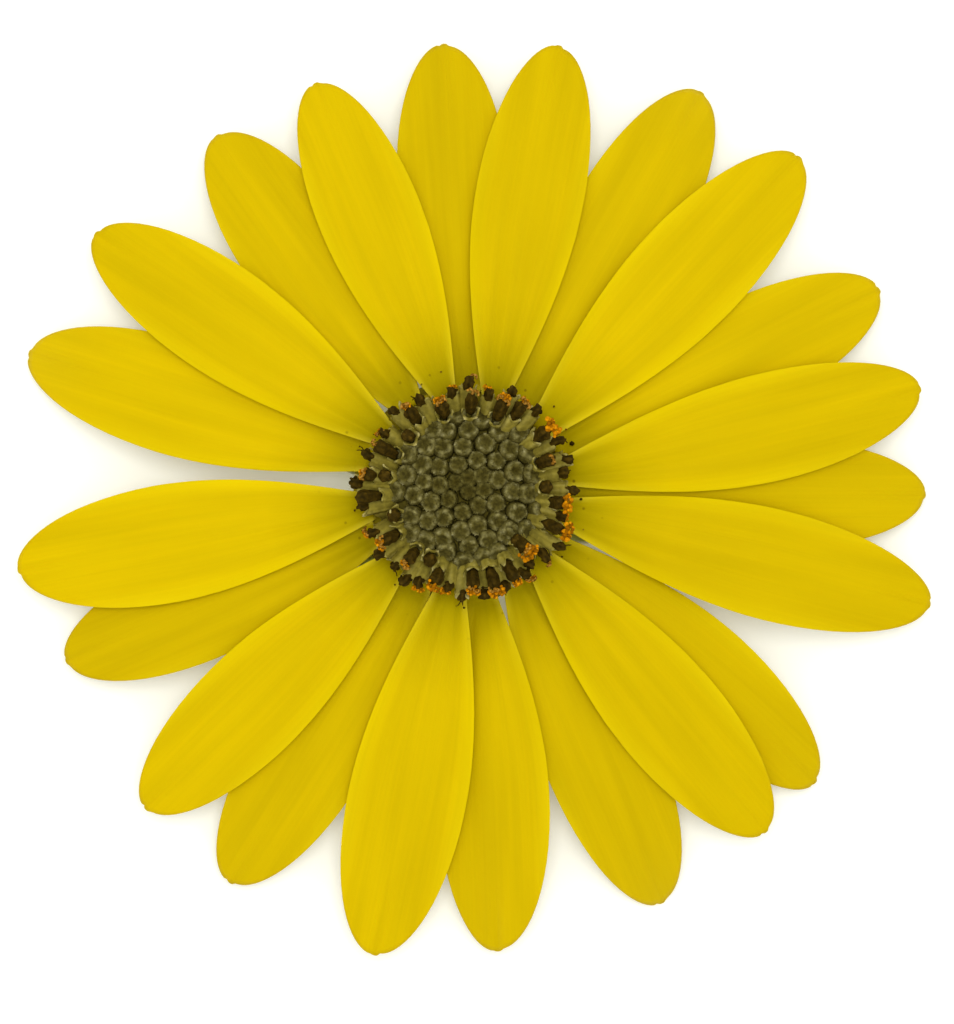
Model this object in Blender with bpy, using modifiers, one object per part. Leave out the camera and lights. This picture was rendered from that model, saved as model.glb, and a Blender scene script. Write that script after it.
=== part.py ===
"""Picked osteospermum flower head, lying face up on its cut stem and three low petal tips.

Metres, +Z up. The origin is in the surface it lies on, under the middle of its box. The
pieces are modelled round the flower's own upright axis, then moved to it. Headings are
degrees anticlockwise from +X, seen from above.
"""

import math

import bmesh
import bpy
from mathutils import Matrix, Vector

MM = 0.001

# Place of the flower's axis, and clearance between neighbouring pieces
FLOWER_AXIS = (-0.68 * MM, 0.69 * MM, 0.0)
FIT_GAP = 0.3 * MM

# Green piece: cut stem, involucre cup and receptacle with two ledges for the rays
LOWER_LEDGE_Z = 4.0 * MM
UPPER_LEDGE_Z = 5.1 * MM
UPPER_LEDGE_RADIUS = 7.3 * MM
TURN_STEPS = 28

# Underside of the green piece from its rim to its cut face, as radius and height
CUP_AND_STEM_SIDE = (
    (8.0 * MM, 4.0 * MM),
    (7.9 * MM, 3.5 * MM),
    (6.6 * MM, 2.5 * MM),
    (4.6 * MM, 1.7 * MM),
    (2.7 * MM, 1.2 * MM),
    (1.9 * MM, 0.8 * MM),
    (2.0 * MM, 0.0),
)

# Bracts of the involucre: headings of the two rows, and the radii and heights each runs along
INNER_BRACT_HEADINGS = (3, 26, 47, 66.6, 93, 119, 146, 172, 195, 216, 233.5, 251, 279, 308, 337)
INNER_BRACT_WIDTH = 2.3 * MM
INNER_BRACT_LINE = (
    (5.2 * MM, 2.1 * MM),
    (6.4 * MM, 2.55 * MM),
    (7.5 * MM, 3.05 * MM),
    (8.6 * MM, 3.35 * MM),
    (9.8 * MM, 3.5 * MM),
)
OUTER_BRACT_COUNT = 12
OUTER_BRACT_FIRST_HEADING = 11
OUTER_BRACT_WIDTH = 2.0 * MM
OUTER_BRACT_LINE = (
    (3.3 * MM, 1.5 * MM),
    (4.8 * MM, 1.75 * MM),
    (6.4 * MM, 2.2 * MM),
    (8.1 * MM, 2.7 * MM),
)
BRACT_THICKNESS = 0.65 * MM
BRACT_TIP_SHARE = 0.12
BRACT_KEEL = 0.12 * MM

# Rays: the outline starts at ROOT_CIRCLE, is widest at WIDEST of its length and ends rounded
ROOT_CIRCLE = 6.4 * MM
UPPER_ROOT_RADIUS = 6.75 * MM
LOWER_ROOT_RADIUS = 7.65 * MM
ROOT_WIDTH_SHARE = 0.15
WIDEST = 0.59
RAY_THICKNESS = 0.62 * MM
RAY_ARCH = 0.2 * MM
TIP_NOTCH = 0.5 * MM
NOTCH_HALF_SHARE = 0.15
SLANT_LENGTH = 3.0 * MM
RAY_COLUMNS = 8
RAY_ROWS = 7

# The rays' common crown: it climbs a little from the ledge and droops towards the tips.
# The tips of rays 3, 11 and 18 curl down to the surface.
CROWN_RADIUS = 33 * MM
CROWN_RISE = 2.2 * MM
CROWN_FALL = 5.6 * MM
CURL_START = 26 * MM

# Each ray: tip heading, reach, root heading, breadth, sideways bow, tip curl, and the
# level, 0 under or 1 over, of its clockwise and anticlockwise edge
RAYS = (
    (92.7, 31.9, 88.5, 8.0, 0.0, -0.2, 0, 0),
    (78.0, 32.4, 71.6, 7.7, 0.15, 0.3, 1, 1),
    (59.3, 33.1, 56.0, 8.1, 0.0, -0.95, 0, 0),
    (44.8, 33.7, 38.5, 8.0, 0.0, 0.2, 1, 1),
    (25.8, 32.9, 24.5, 8.0, 0.0, -0.2, 0, 0),
    (12.5, 33.3, 10.0, 7.7, -0.2, 0.5, 1, 1),
    (359.4, 32.9, 359.0, 7.9, 0.0, -0.3, 0, 0),
    (346.1, 34.2, 347.8, 7.9, 0.0, 0.2, 1, 1),
    (320.2, 32.6, 327.7, 7.5, 0.35, -0.3, 0, 0),
    (311.4, 32.5, 317.2, 7.8, 0.0, 0.4, 1, 1),
    (295.5, 32.7, 301.9, 8.1, 0.25, -1.22, 0, 0),
    (274.2, 33.0, 277.5, 8.0, 0.2, 0.0, 0, 1),
    (259.0, 33.8, 262.2, 8.4, 0.0, 0.5, 1, 1),
    (239.1, 32.7, 243.5, 8.1, 0.0, -0.2, 0, 0),
    (225.0, 32.2, 226.6, 7.7, 0.0, 0.2, 1, 1),
    (203.3, 31.0, 206.5, 7.7, 0.0, -0.5, 0, 0),
    (190.2, 32.4, 190.2, 8.4, 0.0, 0.3, 1, 1),
    (162.5, 32.7, 160.5, 8.2, 0.0, -1.23, 0, 0),
    (145.2, 32.1, 145.4, 7.8, -0.1, 0.4, 1, 1),
    (125.0, 30.9, 123.5, 8.1, 0.0, -0.4, 0, 0),
    (110.2, 30.9, 101.6, 7.3, 0.0, 0.2, 1, 1),
)

# Bud dome: closed florets on the golden spiral round a shallow dip in the middle
BUD_COUNT = 54
BUD_SPIRAL_RADIUS = 4.68 * MM
BUD_RADIUS = 0.6 * MM
BUD_CORE_RADIUS = 4.9 * MM
BUD_CORE_INSET = 0.2 * MM
BUD_CORE_SHOULDER = 0.3 * MM
BUD_CORE_EDGE_Z = 7.0 * MM
BUD_CORE_MIDDLE_Z = 6.6 * MM
BUD_HEIGHT = 0.95 * MM
BUD_FOOT_SHARE = 0.75
BUD_CROWN_INSET_SHARE = 0.38
BUD_CROWN_RISE_SHARE = 0.3
BUD_DIMPLE_SHARE = 0.25
BUD_LEAN = 0.25
GOLDEN_ANGLE = math.radians(137.508)

# Ring of open florets round the bud dome
RING_INNER = 5.6 * MM
RING_OUTER = 6.4 * MM
RING_TOP_Z = 6.7 * MM
FLORET_TUBE_RADIUS = 0.4 * MM

# Tall row: heights and tube radii at the root, the corolla's mouth, the anther tube's foot
# and its tip, which rises by TALL_CLIMB for each metre it leans out past where it leaves
TALL_ROOT = (6.0 * MM, 6.2 * MM, 0.38 * MM)
TALL_MOUTH_Z = 7.7 * MM
TALL_MOUTH_RADIUS = 0.5 * MM
TALL_FOOT_STEP = 0.05 * MM
TALL_FOOT_Z = 7.9 * MM
TALL_FOOT_RADIUS = 0.36 * MM
TALL_TIP_Z = 8.4 * MM
TALL_CLIMB = 0.75
TALL_TIP_RADIUS = 0.33 * MM
TALL_POLLEN = ((0.12 * MM, 0.12 * MM, 0.5 * MM), (0.5 * MM, 0.4 * MM, 0.3 * MM))

# Low row: the same sizes
LOW_ROOT = (6.1 * MM, 6.4 * MM, 0.36 * MM)
LOW_MOUTH_STEP = 0.1 * MM
LOW_MOUTH_Z = 7.25 * MM
LOW_MOUTH_RADIUS = 0.46 * MM
LOW_FOOT_Z = 7.4 * MM
LOW_FOOT_RADIUS = 0.36 * MM
LOW_TIP_Z = 7.7 * MM
LOW_TIP_RADIUS = 0.3 * MM
LOW_POLLEN = ((0.15 * MM, 0.05 * MM, 0.46 * MM), (0.5 * MM, 0.15 * MM, 0.3 * MM))

# Open florets of the tall row: heading, radius where the anther tube leaves the corolla,
# radius of its tip, and 1 where a pollen clump sits on it
TALL_FLORETS = (
    (56, 6.1, 7.4, 1), (36, 6.1, 7.3, 1), (19.5, 5.7, 6.6, 1), (2, 5.9, 6.1, 0),
    (352, 6.2, 7.0, 1), (337.5, 6.0, 7.4, 1), (316.5, 5.8, 6.2, 1), (298.5, 6.0, 7.3, 0),
    (287.5, 6.0, 7.2, 1), (275, 5.9, 7.0, 1), (251, 6.0, 7.2, 1), (243, 5.9, 6.0, 0),
    (231, 5.8, 6.6, 1), (212.5, 5.8, 7.0, 1), (200, 5.9, 6.0, 0), (184, 6.0, 7.0, 0),
    (170, 5.9, 6.2, 0), (153, 5.8, 7.0, 0), (136.5, 5.9, 6.1, 0), (125, 5.8, 7.1, 1),
    (105.5, 5.8, 6.4, 1), (86, 5.8, 6.8, 0), (66.3, 5.8, 6.6, 1),
)

# Open florets of the low outer row, which lean out over the rays
LOW_FLORETS = (
    (48.5, 7.1, 8.0, 0), (28.5, 6.9, 7.9, 0), (11, 6.8, 7.6, 0), (0.5, 7.1, 8.1, 0),
    (328, 7.1, 8.1, 0), (321.5, 6.8, 8.0, 0), (308.5, 6.7, 7.8, 0), (293, 7.0, 7.7, 0),
    (281, 7.0, 7.9, 0), (269, 7.1, 7.9, 0), (261, 6.7, 7.3, 1), (246, 7.0, 7.7, 1),
    (237.5, 7.2, 8.1, 0), (218, 7.1, 8.0, 0), (206, 6.9, 7.7, 1), (188, 7.0, 7.8, 0),
    (176, 7.3, 8.2, 1), (161, 6.8, 7.8, 0), (143.5, 6.7, 7.5, 1), (131, 7.1, 7.9, 0),
    (115.5, 6.8, 7.6, 0), (98, 6.7, 7.4, 1), (88.5, 7.1, 8.1, 0), (75, 6.7, 7.4, 1),
)


def polar(radius, heading, height=0.0):
    """Point at a radius and a heading in degrees round the flower's axis."""
    turn = math.radians(heading)
    return Vector((radius * math.cos(turn), radius * math.sin(turn), height))


def smooth_step(value):
    """Ease from 0 to 1 as value goes from 0 to 1."""
    value = min(max(value, 0.0), 1.0)
    return value * value * (3.0 - 2.0 * value)


def make_material(name, colour, roughness):
    """Principled material with a linear base colour."""
    material = bpy.data.materials.new(name)
    material.use_nodes = True
    shader = material.node_tree.nodes["Principled BSDF"]
    shader.inputs["Base Color"].default_value = (*colour, 1.0)
    shader.inputs["Roughness"].default_value = roughness
    shader.inputs["Metallic"].default_value = 0.0
    return material


def make_object(name, mesh, collection, material=None):
    """Object for a mesh, linked to a collection."""
    piece = bpy.data.objects.new(name, mesh)
    collection.objects.link(piece)
    if material:
        mesh.materials.append(material)
    return piece


def mesh_from(name, shape):
    """Mesh of a finished bmesh, which is freed."""
    mesh = bpy.data.meshes.new(name)
    shape.to_mesh(mesh)
    shape.free()
    return mesh


def evaluated_mesh(piece):
    """Mesh of an object with its modifiers or its bevel, in the object's own axes."""
    bpy.context.view_layer.update()
    graph = bpy.context.evaluated_depsgraph_get()
    return bpy.data.meshes.new_from_object(piece.evaluated_get(graph), depsgraph=graph)


def apply_modifiers(piece):
    """Replace an object's mesh by its evaluated one."""
    mesh = evaluated_mesh(piece)
    piece.modifiers.clear()
    piece.data = mesh


def make_turned(name, profile, collection, material, ring=False):
    """Solid turned round the Z axis from (radius, height) points, outer side top to bottom."""
    shape = bmesh.new()
    points = [shape.verts.new((radius, 0.0, height)) for radius, height in profile]
    if ring:
        points.append(points[0])
    for start, end in zip(points, points[1:]):
        shape.edges.new((start, end))
    piece = make_object(name, mesh_from(name, shape), collection, material)
    screw = piece.modifiers.new("turn", "SCREW")
    screw.steps = TURN_STEPS
    screw.render_steps = TURN_STEPS
    screw.use_merge_vertices = True
    screw.merge_threshold = 0.00002
    return piece


def join_repeats(piece, repeats):
    """Fuse a collection of closed solids into a piece, and remove them."""
    union = piece.modifiers.new("fuse", "BOOLEAN")
    union.operation = "UNION"
    union.operand_type = "COLLECTION"
    union.collection = repeats
    union.solver = "MANIFOLD"
    apply_modifiers(piece)
    for repeat in list(repeats.objects):
        bpy.data.objects.remove(repeat)
    bpy.data.collections.remove(repeats)


def ray_outline(share):
    """Half-breadth of a ray as a share of the widest, at a share of its length."""
    swell = math.sin(0.5 * math.pi * min(max(share, 0.0), WIDEST) / WIDEST)
    return ROOT_WIDTH_SHARE + (1.0 - ROOT_WIDTH_SHARE) * swell


def ray_end(across):
    """Share of the length at which a ray ends, from -1 at one edge to 1 at the other."""
    rounding = math.sqrt(max(0.0, 1.0 - across * across))
    return WIDEST + (1.0 - WIDEST) * rounding


def crown_height(radius):
    """Height of the lower rays' middle surface at a distance from the axis."""
    share = (radius - LOWER_ROOT_RADIUS) / (CROWN_RADIUS - LOWER_ROOT_RADIUS)
    seat = LOWER_LEDGE_Z + FIT_GAP + RAY_THICKNESS / 2
    return seat + CROWN_RISE * share - CROWN_FALL * share * share


def ray_point(ray, side, along):
    """Point of a ray's middle surface; side is -1 to 1 across it, along is 0 to 1."""
    tip_heading, reach, root_heading, breadth, bow, curl, low_edge, high_edge = ray
    reach = reach * MM
    across = math.copysign(math.sin(0.5 * math.pi * abs(side) ** 1.5), side)
    upper = low_edge == 1
    root_radius = UPPER_ROOT_RADIUS if upper else LOWER_ROOT_RADIUS
    start = (root_radius - ROOT_CIRCLE) / (reach - ROOT_CIRCLE)
    notch = TIP_NOTCH / reach * max(0.0, 1.0 - abs(across) / NOTCH_HALF_SHARE)
    share = start + along * (ray_end(across) - notch - start)
    root = polar(ROOT_CIRCLE, root_heading)
    midline = polar(reach, tip_heading) - root
    sideways = Vector((-midline.y, midline.x, 0.0)).normalized()
    offset = bow * MM * 4.0 * share * (1.0 - share)
    offset += across * 0.5 * breadth * MM * ray_outline(share)
    point = root + midline * share + sideways * offset
    radius = point.length
    level = low_edge + (high_edge - low_edge) * smooth_step(across + 0.5)
    if low_edge != high_edge:
        level *= smooth_step((radius - LOWER_ROOT_RADIUS) / SLANT_LENGTH)
    curl_share = max(0.0, (radius - CURL_START) / (CROWN_RADIUS - CURL_START))
    point.z = crown_height(radius) + level * (UPPER_LEDGE_Z - LOWER_LEDGE_Z)
    point.z += curl * MM * curl_share ** 2 - RAY_ARCH * across * across
    return point


def make_ray(number, ray, collection, material):
    """One ray floret: a thin arched blade with a notched tip."""
    shape = bmesh.new()
    bmesh.ops.create_grid(shape, x_segments=RAY_COLUMNS, y_segments=RAY_ROWS, size=1.0)
    for vertex in shape.verts:
        vertex.co = ray_point(ray, -vertex.co.x, 0.5 * (vertex.co.y + 1.0))
    bmesh.ops.triangulate(shape, faces=shape.faces[:])
    bmesh.ops.recalc_face_normals(shape, faces=shape.faces[:])
    name = f"ray_{number:02d}"
    piece = make_object(name, mesh_from(name, shape), collection, material)
    solid = piece.modifiers.new("thickness", "SOLIDIFY")
    solid.thickness = RAY_THICKNESS
    solid.offset = 0.0
    return piece


def make_bract(name, heading, stations, width, collection):
    """Pointed bract along (radius, height) stations, as a closed blade."""
    shape = bmesh.new()
    rows = len(stations) - 1
    bmesh.ops.create_grid(shape, x_segments=2, y_segments=rows, size=1.0)
    for vertex in shape.verts:
        row = round(0.5 * (vertex.co.y + 1.0) * rows)
        radius, height = stations[row]
        taper = max(BRACT_TIP_SHARE, math.sqrt(1.0 - (row / rows) ** 2))
        keel = BRACT_KEEL * abs(vertex.co.x)
        vertex.co = Vector((radius, vertex.co.x * 0.5 * width * taper, height + keel))
    bmesh.ops.triangulate(shape, faces=shape.faces[:])
    bmesh.ops.recalc_face_normals(shape, faces=shape.faces[:])
    bmesh.ops.rotate(shape, verts=shape.verts[:], matrix=Matrix.Rotation(math.radians(heading), 3, "Z"))
    piece = make_object(name, mesh_from(name, shape), collection)
    solid = piece.modifiers.new("thickness", "SOLIDIFY")
    solid.thickness = BRACT_THICKNESS
    solid.offset = 0.0
    apply_modifiers(piece)
    return piece


def make_involucre(collection, material):
    """Cut stem, cup and receptacle in one, with two rows of bracts fused to the cup."""
    profile = [(0.0, UPPER_LEDGE_Z), (UPPER_LEDGE_RADIUS, UPPER_LEDGE_Z)]
    profile += [(UPPER_LEDGE_RADIUS, LOWER_LEDGE_Z), *CUP_AND_STEM_SIDE, (0.0, 0.0)]
    piece = make_turned("involucre_and_stem", profile, collection, material)
    apply_modifiers(piece)
    bracts = bpy.data.collections.new("bracts")
    bpy.context.scene.collection.children.link(bracts)
    for index, heading in enumerate(INNER_BRACT_HEADINGS):
        make_bract(f"inner_bract_{index}", heading, INNER_BRACT_LINE, INNER_BRACT_WIDTH, bracts)
    for index in range(OUTER_BRACT_COUNT):
        heading = OUTER_BRACT_FIRST_HEADING + index * 360.0 / OUTER_BRACT_COUNT
        make_bract(f"outer_bract_{index}", heading, OUTER_BRACT_LINE, OUTER_BRACT_WIDTH, bracts)
    join_repeats(piece, bracts)
    return piece


def bud_height(radius):
    """Height of the bud dome's surface at a distance from the axis."""
    share = min(radius / BUD_CORE_RADIUS, 1.0)
    return BUD_CORE_MIDDLE_Z + (BUD_CORE_EDGE_Z - BUD_CORE_MIDDLE_Z) * math.sin(share * math.pi * 0.6)


def make_bud(name, place, size, collection):
    """Closed floret: a six-sided knob with a bevelled crown and a dimple."""
    shape = bmesh.new()
    depth = 2.0 * BUD_HEIGHT
    bmesh.ops.create_cone(
        shape, cap_ends=True, segments=6, radius1=BUD_FOOT_SHARE * size, radius2=size, depth=depth
    )
    crown = [face for face in shape.faces if face.normal.z > 0.9]
    inset = BUD_CROWN_INSET_SHARE * size
    bmesh.ops.inset_region(shape, faces=crown, thickness=inset, depth=BUD_CROWN_RISE_SHARE * size)
    bmesh.ops.poke(shape, faces=crown, offset=-BUD_DIMPLE_SHARE * size)
    outward = Vector((place.x, place.y, 0.0)) / BUD_SPIRAL_RADIUS
    lean = BUD_LEAN * outward + Vector((0.0, 0.0, 1.0))
    turn = lean.to_track_quat("Z", "Y").to_matrix()
    bmesh.ops.rotate(shape, verts=shape.verts[:], matrix=turn)
    bmesh.ops.translate(shape, verts=shape.verts[:], vec=place)
    return make_object(name, mesh_from(name, shape), collection)


def make_disc_buds(collection, material):
    """Unopened florets of the disc, fused to one low core."""
    seat = UPPER_LEDGE_Z + FIT_GAP
    core_edge = BUD_CORE_RADIUS - BUD_CORE_INSET
    profile = [(share * core_edge, bud_height(share * core_edge)) for share in (0.0, 0.25, 0.5, 0.75)]
    shoulder = BUD_CORE_EDGE_Z - BUD_CORE_SHOULDER
    profile += [(core_edge, shoulder), (core_edge, seat), (0.0, seat)]
    piece = make_turned("disc_buds", profile, collection, material)
    apply_modifiers(piece)
    buds = bpy.data.collections.new("buds")
    bpy.context.scene.collection.children.link(buds)
    for index in range(BUD_COUNT):
        share = math.sqrt((index + 0.5) / (BUD_COUNT - 0.5))
        radius = BUD_SPIRAL_RADIUS * share
        turn = index * GOLDEN_ANGLE
        size = BUD_RADIUS * (0.8 + 0.2 * share)
        place = Vector((radius * math.cos(turn), radius * math.sin(turn), bud_height(radius)))
        make_bud(f"bud_{index}", place, size, buds)
    join_repeats(piece, buds)
    return piece


def make_floret(name, heading, stations, collection):
    """Open floret along (radius, height, tube radius) stations, as a closed six-sided tube."""
    curve = bpy.data.curves.new(name, "CURVE")
    curve.dimensions = "3D"
    curve.bevel_depth = FLORET_TUBE_RADIUS
    curve.bevel_resolution = 1
    curve.use_fill_caps = True
    spline = curve.splines.new("POLY")
    spline.points.add(len(stations) - 1)
    for point, (radius, height, tube) in zip(spline.points, stations):
        point.co = (*polar(radius, heading, height), 1.0)
        point.radius = tube / FLORET_TUBE_RADIUS
    guide = bpy.data.objects.new(name, curve)
    bpy.context.scene.collection.objects.link(guide)
    shape = bmesh.new()
    shape.from_mesh(evaluated_mesh(guide))
    bpy.data.objects.remove(guide)
    bmesh.ops.remove_doubles(shape, verts=shape.verts[:], dist=0.00001)
    bmesh.ops.recalc_face_normals(shape, faces=shape.faces[:])
    return make_object(name, mesh_from(name, shape), collection)


def tall_stations(leave, tip, pollen):
    """Stations of a floret of the tall row: corolla, anther tube and pollen clump."""
    tip_z = TALL_TIP_Z + TALL_CLIMB * (tip - leave)
    stations = [
        TALL_ROOT,
        (leave, TALL_MOUTH_Z, TALL_MOUTH_RADIUS),
        (leave + TALL_FOOT_STEP, TALL_FOOT_Z, TALL_FOOT_RADIUS),
        (tip, tip_z, TALL_TIP_RADIUS),
    ]
    if pollen:
        stations += [(tip + out, tip_z + up, radius) for out, up, radius in TALL_POLLEN]
    return stations


def low_stations(leave, tip, pollen):
    """Stations of a floret of the low row, which leans out."""
    stations = [
        LOW_ROOT,
        (leave - LOW_MOUTH_STEP, LOW_MOUTH_Z, LOW_MOUTH_RADIUS),
        (leave + LOW_MOUTH_STEP, LOW_FOOT_Z, LOW_FOOT_RADIUS),
        (tip, LOW_TIP_Z, LOW_TIP_RADIUS),
    ]
    if pollen:
        stations += [(tip + out, LOW_TIP_Z + up, radius) for out, up, radius in LOW_POLLEN]
    return stations


def make_open_florets(collection, material):
    """Two rows of open florets fused to a ring round the bud dome."""
    seat = UPPER_LEDGE_Z + FIT_GAP
    profile = (
        (RING_INNER, seat),
        (RING_INNER, RING_TOP_Z),
        (RING_OUTER, RING_TOP_Z),
        (RING_OUTER, seat),
    )
    piece = make_turned("open_florets", profile, collection, material, ring=True)
    apply_modifiers(piece)
    florets = bpy.data.collections.new("florets")
    bpy.context.scene.collection.children.link(florets)
    for index, (heading, leave, tip, pollen) in enumerate(TALL_FLORETS):
        stations = tall_stations(leave * MM, tip * MM, pollen)
        make_floret(f"tall_floret_{index}", heading, stations, florets)
    for index, (heading, leave, tip, pollen) in enumerate(LOW_FLORETS):
        stations = low_stations(leave * MM, tip * MM, pollen)
        make_floret(f"low_floret_{index}", heading, stations, florets)
    join_repeats(piece, florets)
    return piece


def main():
    """Model every piece of the flower head."""
    for old in list(bpy.data.objects):
        bpy.data.objects.remove(old)
    flower = bpy.data.collections.new("osteospermum")
    bpy.context.scene.collection.children.link(flower)
    petal_yellow = make_material("petal_yellow", (0.72, 0.53, 0.01), 0.55)
    bract_green = make_material("bract_green", (0.13, 0.2, 0.05), 0.6)
    bud_green = make_material("bud_green", (0.14, 0.13, 0.06), 0.65)
    floret_olive = make_material("floret_olive", (0.22, 0.19, 0.05), 0.6)
    make_involucre(flower, bract_green)
    for number, ray in enumerate(RAYS, start=1):
        make_ray(number, ray, flower, petal_yellow)
    make_disc_buds(flower, bud_green)
    make_open_florets(flower, floret_olive)
    for piece in flower.objects:
        piece.location = FLOWER_AXIS


main()
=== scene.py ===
"""Osteospermum flower head with fine petals, buds, open florets and bracts.

Metres, +Z up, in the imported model's frame. The pieces are modelled round the flower's own
upright axis and then moved to it. Headings are degrees anticlockwise from +X, from above,
and the tables of pieces are in millimetres.
"""

import math
import random

import bmesh
import bpy
from mathutils import Matrix, Vector, noise


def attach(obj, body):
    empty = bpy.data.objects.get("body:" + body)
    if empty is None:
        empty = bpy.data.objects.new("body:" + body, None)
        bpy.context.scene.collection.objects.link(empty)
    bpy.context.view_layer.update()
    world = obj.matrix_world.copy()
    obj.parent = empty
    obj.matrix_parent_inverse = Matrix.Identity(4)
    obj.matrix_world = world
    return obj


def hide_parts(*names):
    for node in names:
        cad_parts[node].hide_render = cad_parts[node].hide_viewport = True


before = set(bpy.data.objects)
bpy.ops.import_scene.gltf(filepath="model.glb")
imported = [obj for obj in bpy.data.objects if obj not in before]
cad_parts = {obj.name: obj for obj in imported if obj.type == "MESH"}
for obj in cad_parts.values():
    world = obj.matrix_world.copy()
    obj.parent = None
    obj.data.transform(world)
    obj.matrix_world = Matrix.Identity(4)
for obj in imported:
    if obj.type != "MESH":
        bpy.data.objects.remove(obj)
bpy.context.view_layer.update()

MM = 0.001
FLOWER_AXIS = Vector((-0.68 * MM, 0.69 * MM, 0.0))
SEAM_GAP = 0.002 * MM
WHITE = (1.0, 1.0, 1.0, 1.0)
UP = Vector((0.0, 0.0, 1.0))
DOWN = Vector((0.0, 0.0, -1.0))

# Camera straight above, a little to the right of and below the flower's axis
PHOTO_PIXEL = 0.0711 * MM
CAMERA_OFFSET = Vector((0.85 * MM, -1.56 * MM, 0.0))
CAMERA_HEIGHT = 548.4 * MM
CAMERA_LENS = 269.0
CAMERA_SENSOR = 36.0

# Light: even white surroundings, one broad lamp almost overhead and a faintly glowing floor
SKY_STRENGTH = 0.91
LAMP_PLACE = Vector((0.02, 0.12, 0.9))
LAMP_SIZE = 0.45
LAMP_POWER = 3.4
FLOOR_SIZE = 1.5
# Painted light: a faint floor glow that lifts its shadows, yellow to stand for light bounced off
# the petals
FLOOR_GLOW = 0.18
FLOOR_GLOW_COLOUR = (1.0, 1.0, 0.8, 1.0)
FLOOR_MOTTLE_SCALE = 6.0
FLOOR_DROP = 0.02 * MM

# Petals: the same outline, crown and levels as the solids they replace
LOWER_LEDGE_Z = 4.0 * MM
FIT_GAP = 0.3 * MM
SEAT_TO_MIDDLE = 0.31 * MM
LEVEL_STEP = 0.8 * MM
ROOT_CIRCLE = 6.4 * MM
UPPER_ROOT_RADIUS = 6.6 * MM
CLAW_RADIUS = 6.9 * MM
CLAW_LENGTH = 1.2 * MM
CLAW_LIFT = 0.75 * MM
LOWER_ROOT_RADIUS = 7.65 * MM
ROOT_WIDTH_SHARE = 0.2
WIDEST = 0.59
RAY_ARCH = 0.2 * MM
SLANT_LENGTH = 3.0 * MM
CROWN_RADIUS = 33 * MM
CROWN_RISE = 2.2 * MM
CROWN_FALL = 5.6 * MM
CURL_START = 26 * MM

# Petal finish: yellow gloss, how far light travels inside the blade, veins, bands and specks
PETAL_GLOSS = (1.0, 0.82, 0.05, 1.0)
PETAL_GLOW_SHARE = 0.2
PETAL_GLOW_REACH = (1.0, 0.75, 0.08)
PETAL_GLOW_DEPTH = 0.5 * MM
# Where the painted light along a petal's edges starts and where it is full, from the middle out
EDGE_LIGHT_START = 0.66
EDGE_LIGHT_END = 0.96
VEIN_STRETCH = (4.5, 0.07, 1.0)
UNDER_VEIN_STRETCH = (4.5, 0.08, 1.0)
BAND_STRETCH = (0.75, 0.06, 1.0)
NOISE_LOW = 0.3
NOISE_HIGH = 0.7
SPECK_SCALE = 900.0
SPECK_CORE = 0.07
SPECK_EDGE = 0.12
SPECK_FULL_TO = 0.04
SPECK_NONE_FROM = 0.16

# Tissue finish: a warm soft gloss and a fine grain
TISSUE_GLOSS = (1.0, 0.88, 0.4, 1.0)
TISSUE_SPECULAR = 0.12
GRAIN_LOW = 0.36
GRAIN_HIGH = 0.64
GRAIN_STRENGTH = 0.7

# Petal relief: two soft channels, a tip crease between two small notches, and ripples
PETAL_COLUMNS = 40
PETAL_ROWS = 64
PETAL_THICKNESS = 0.34 * MM
PETAL_EDGE_SHARE = 0.35
CHANNEL_ACROSS = 0.36
CHANNEL_WIDTH = 0.2
CHANNEL_DEPTH = 0.09 * MM
CREASE_WIDTH = 0.07
CREASE_DEPTH = 0.12 * MM
CREASE_START = 0.72
NOTCH_ACROSS = 0.095
NOTCH_HALF = 0.05
NOTCH_DEPTH = 0.16 * MM
TIP_STEP = 0.18 * MM
RIPPLE_DEPTH = 0.12 * MM
EDGE_RIPPLE = 0.16 * MM
ROOT_GUTTER = 0.35 * MM

# Distance from petal to petal on the map that their veins are drawn on, in millimetres
MAP_STEP = 20.0
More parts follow.
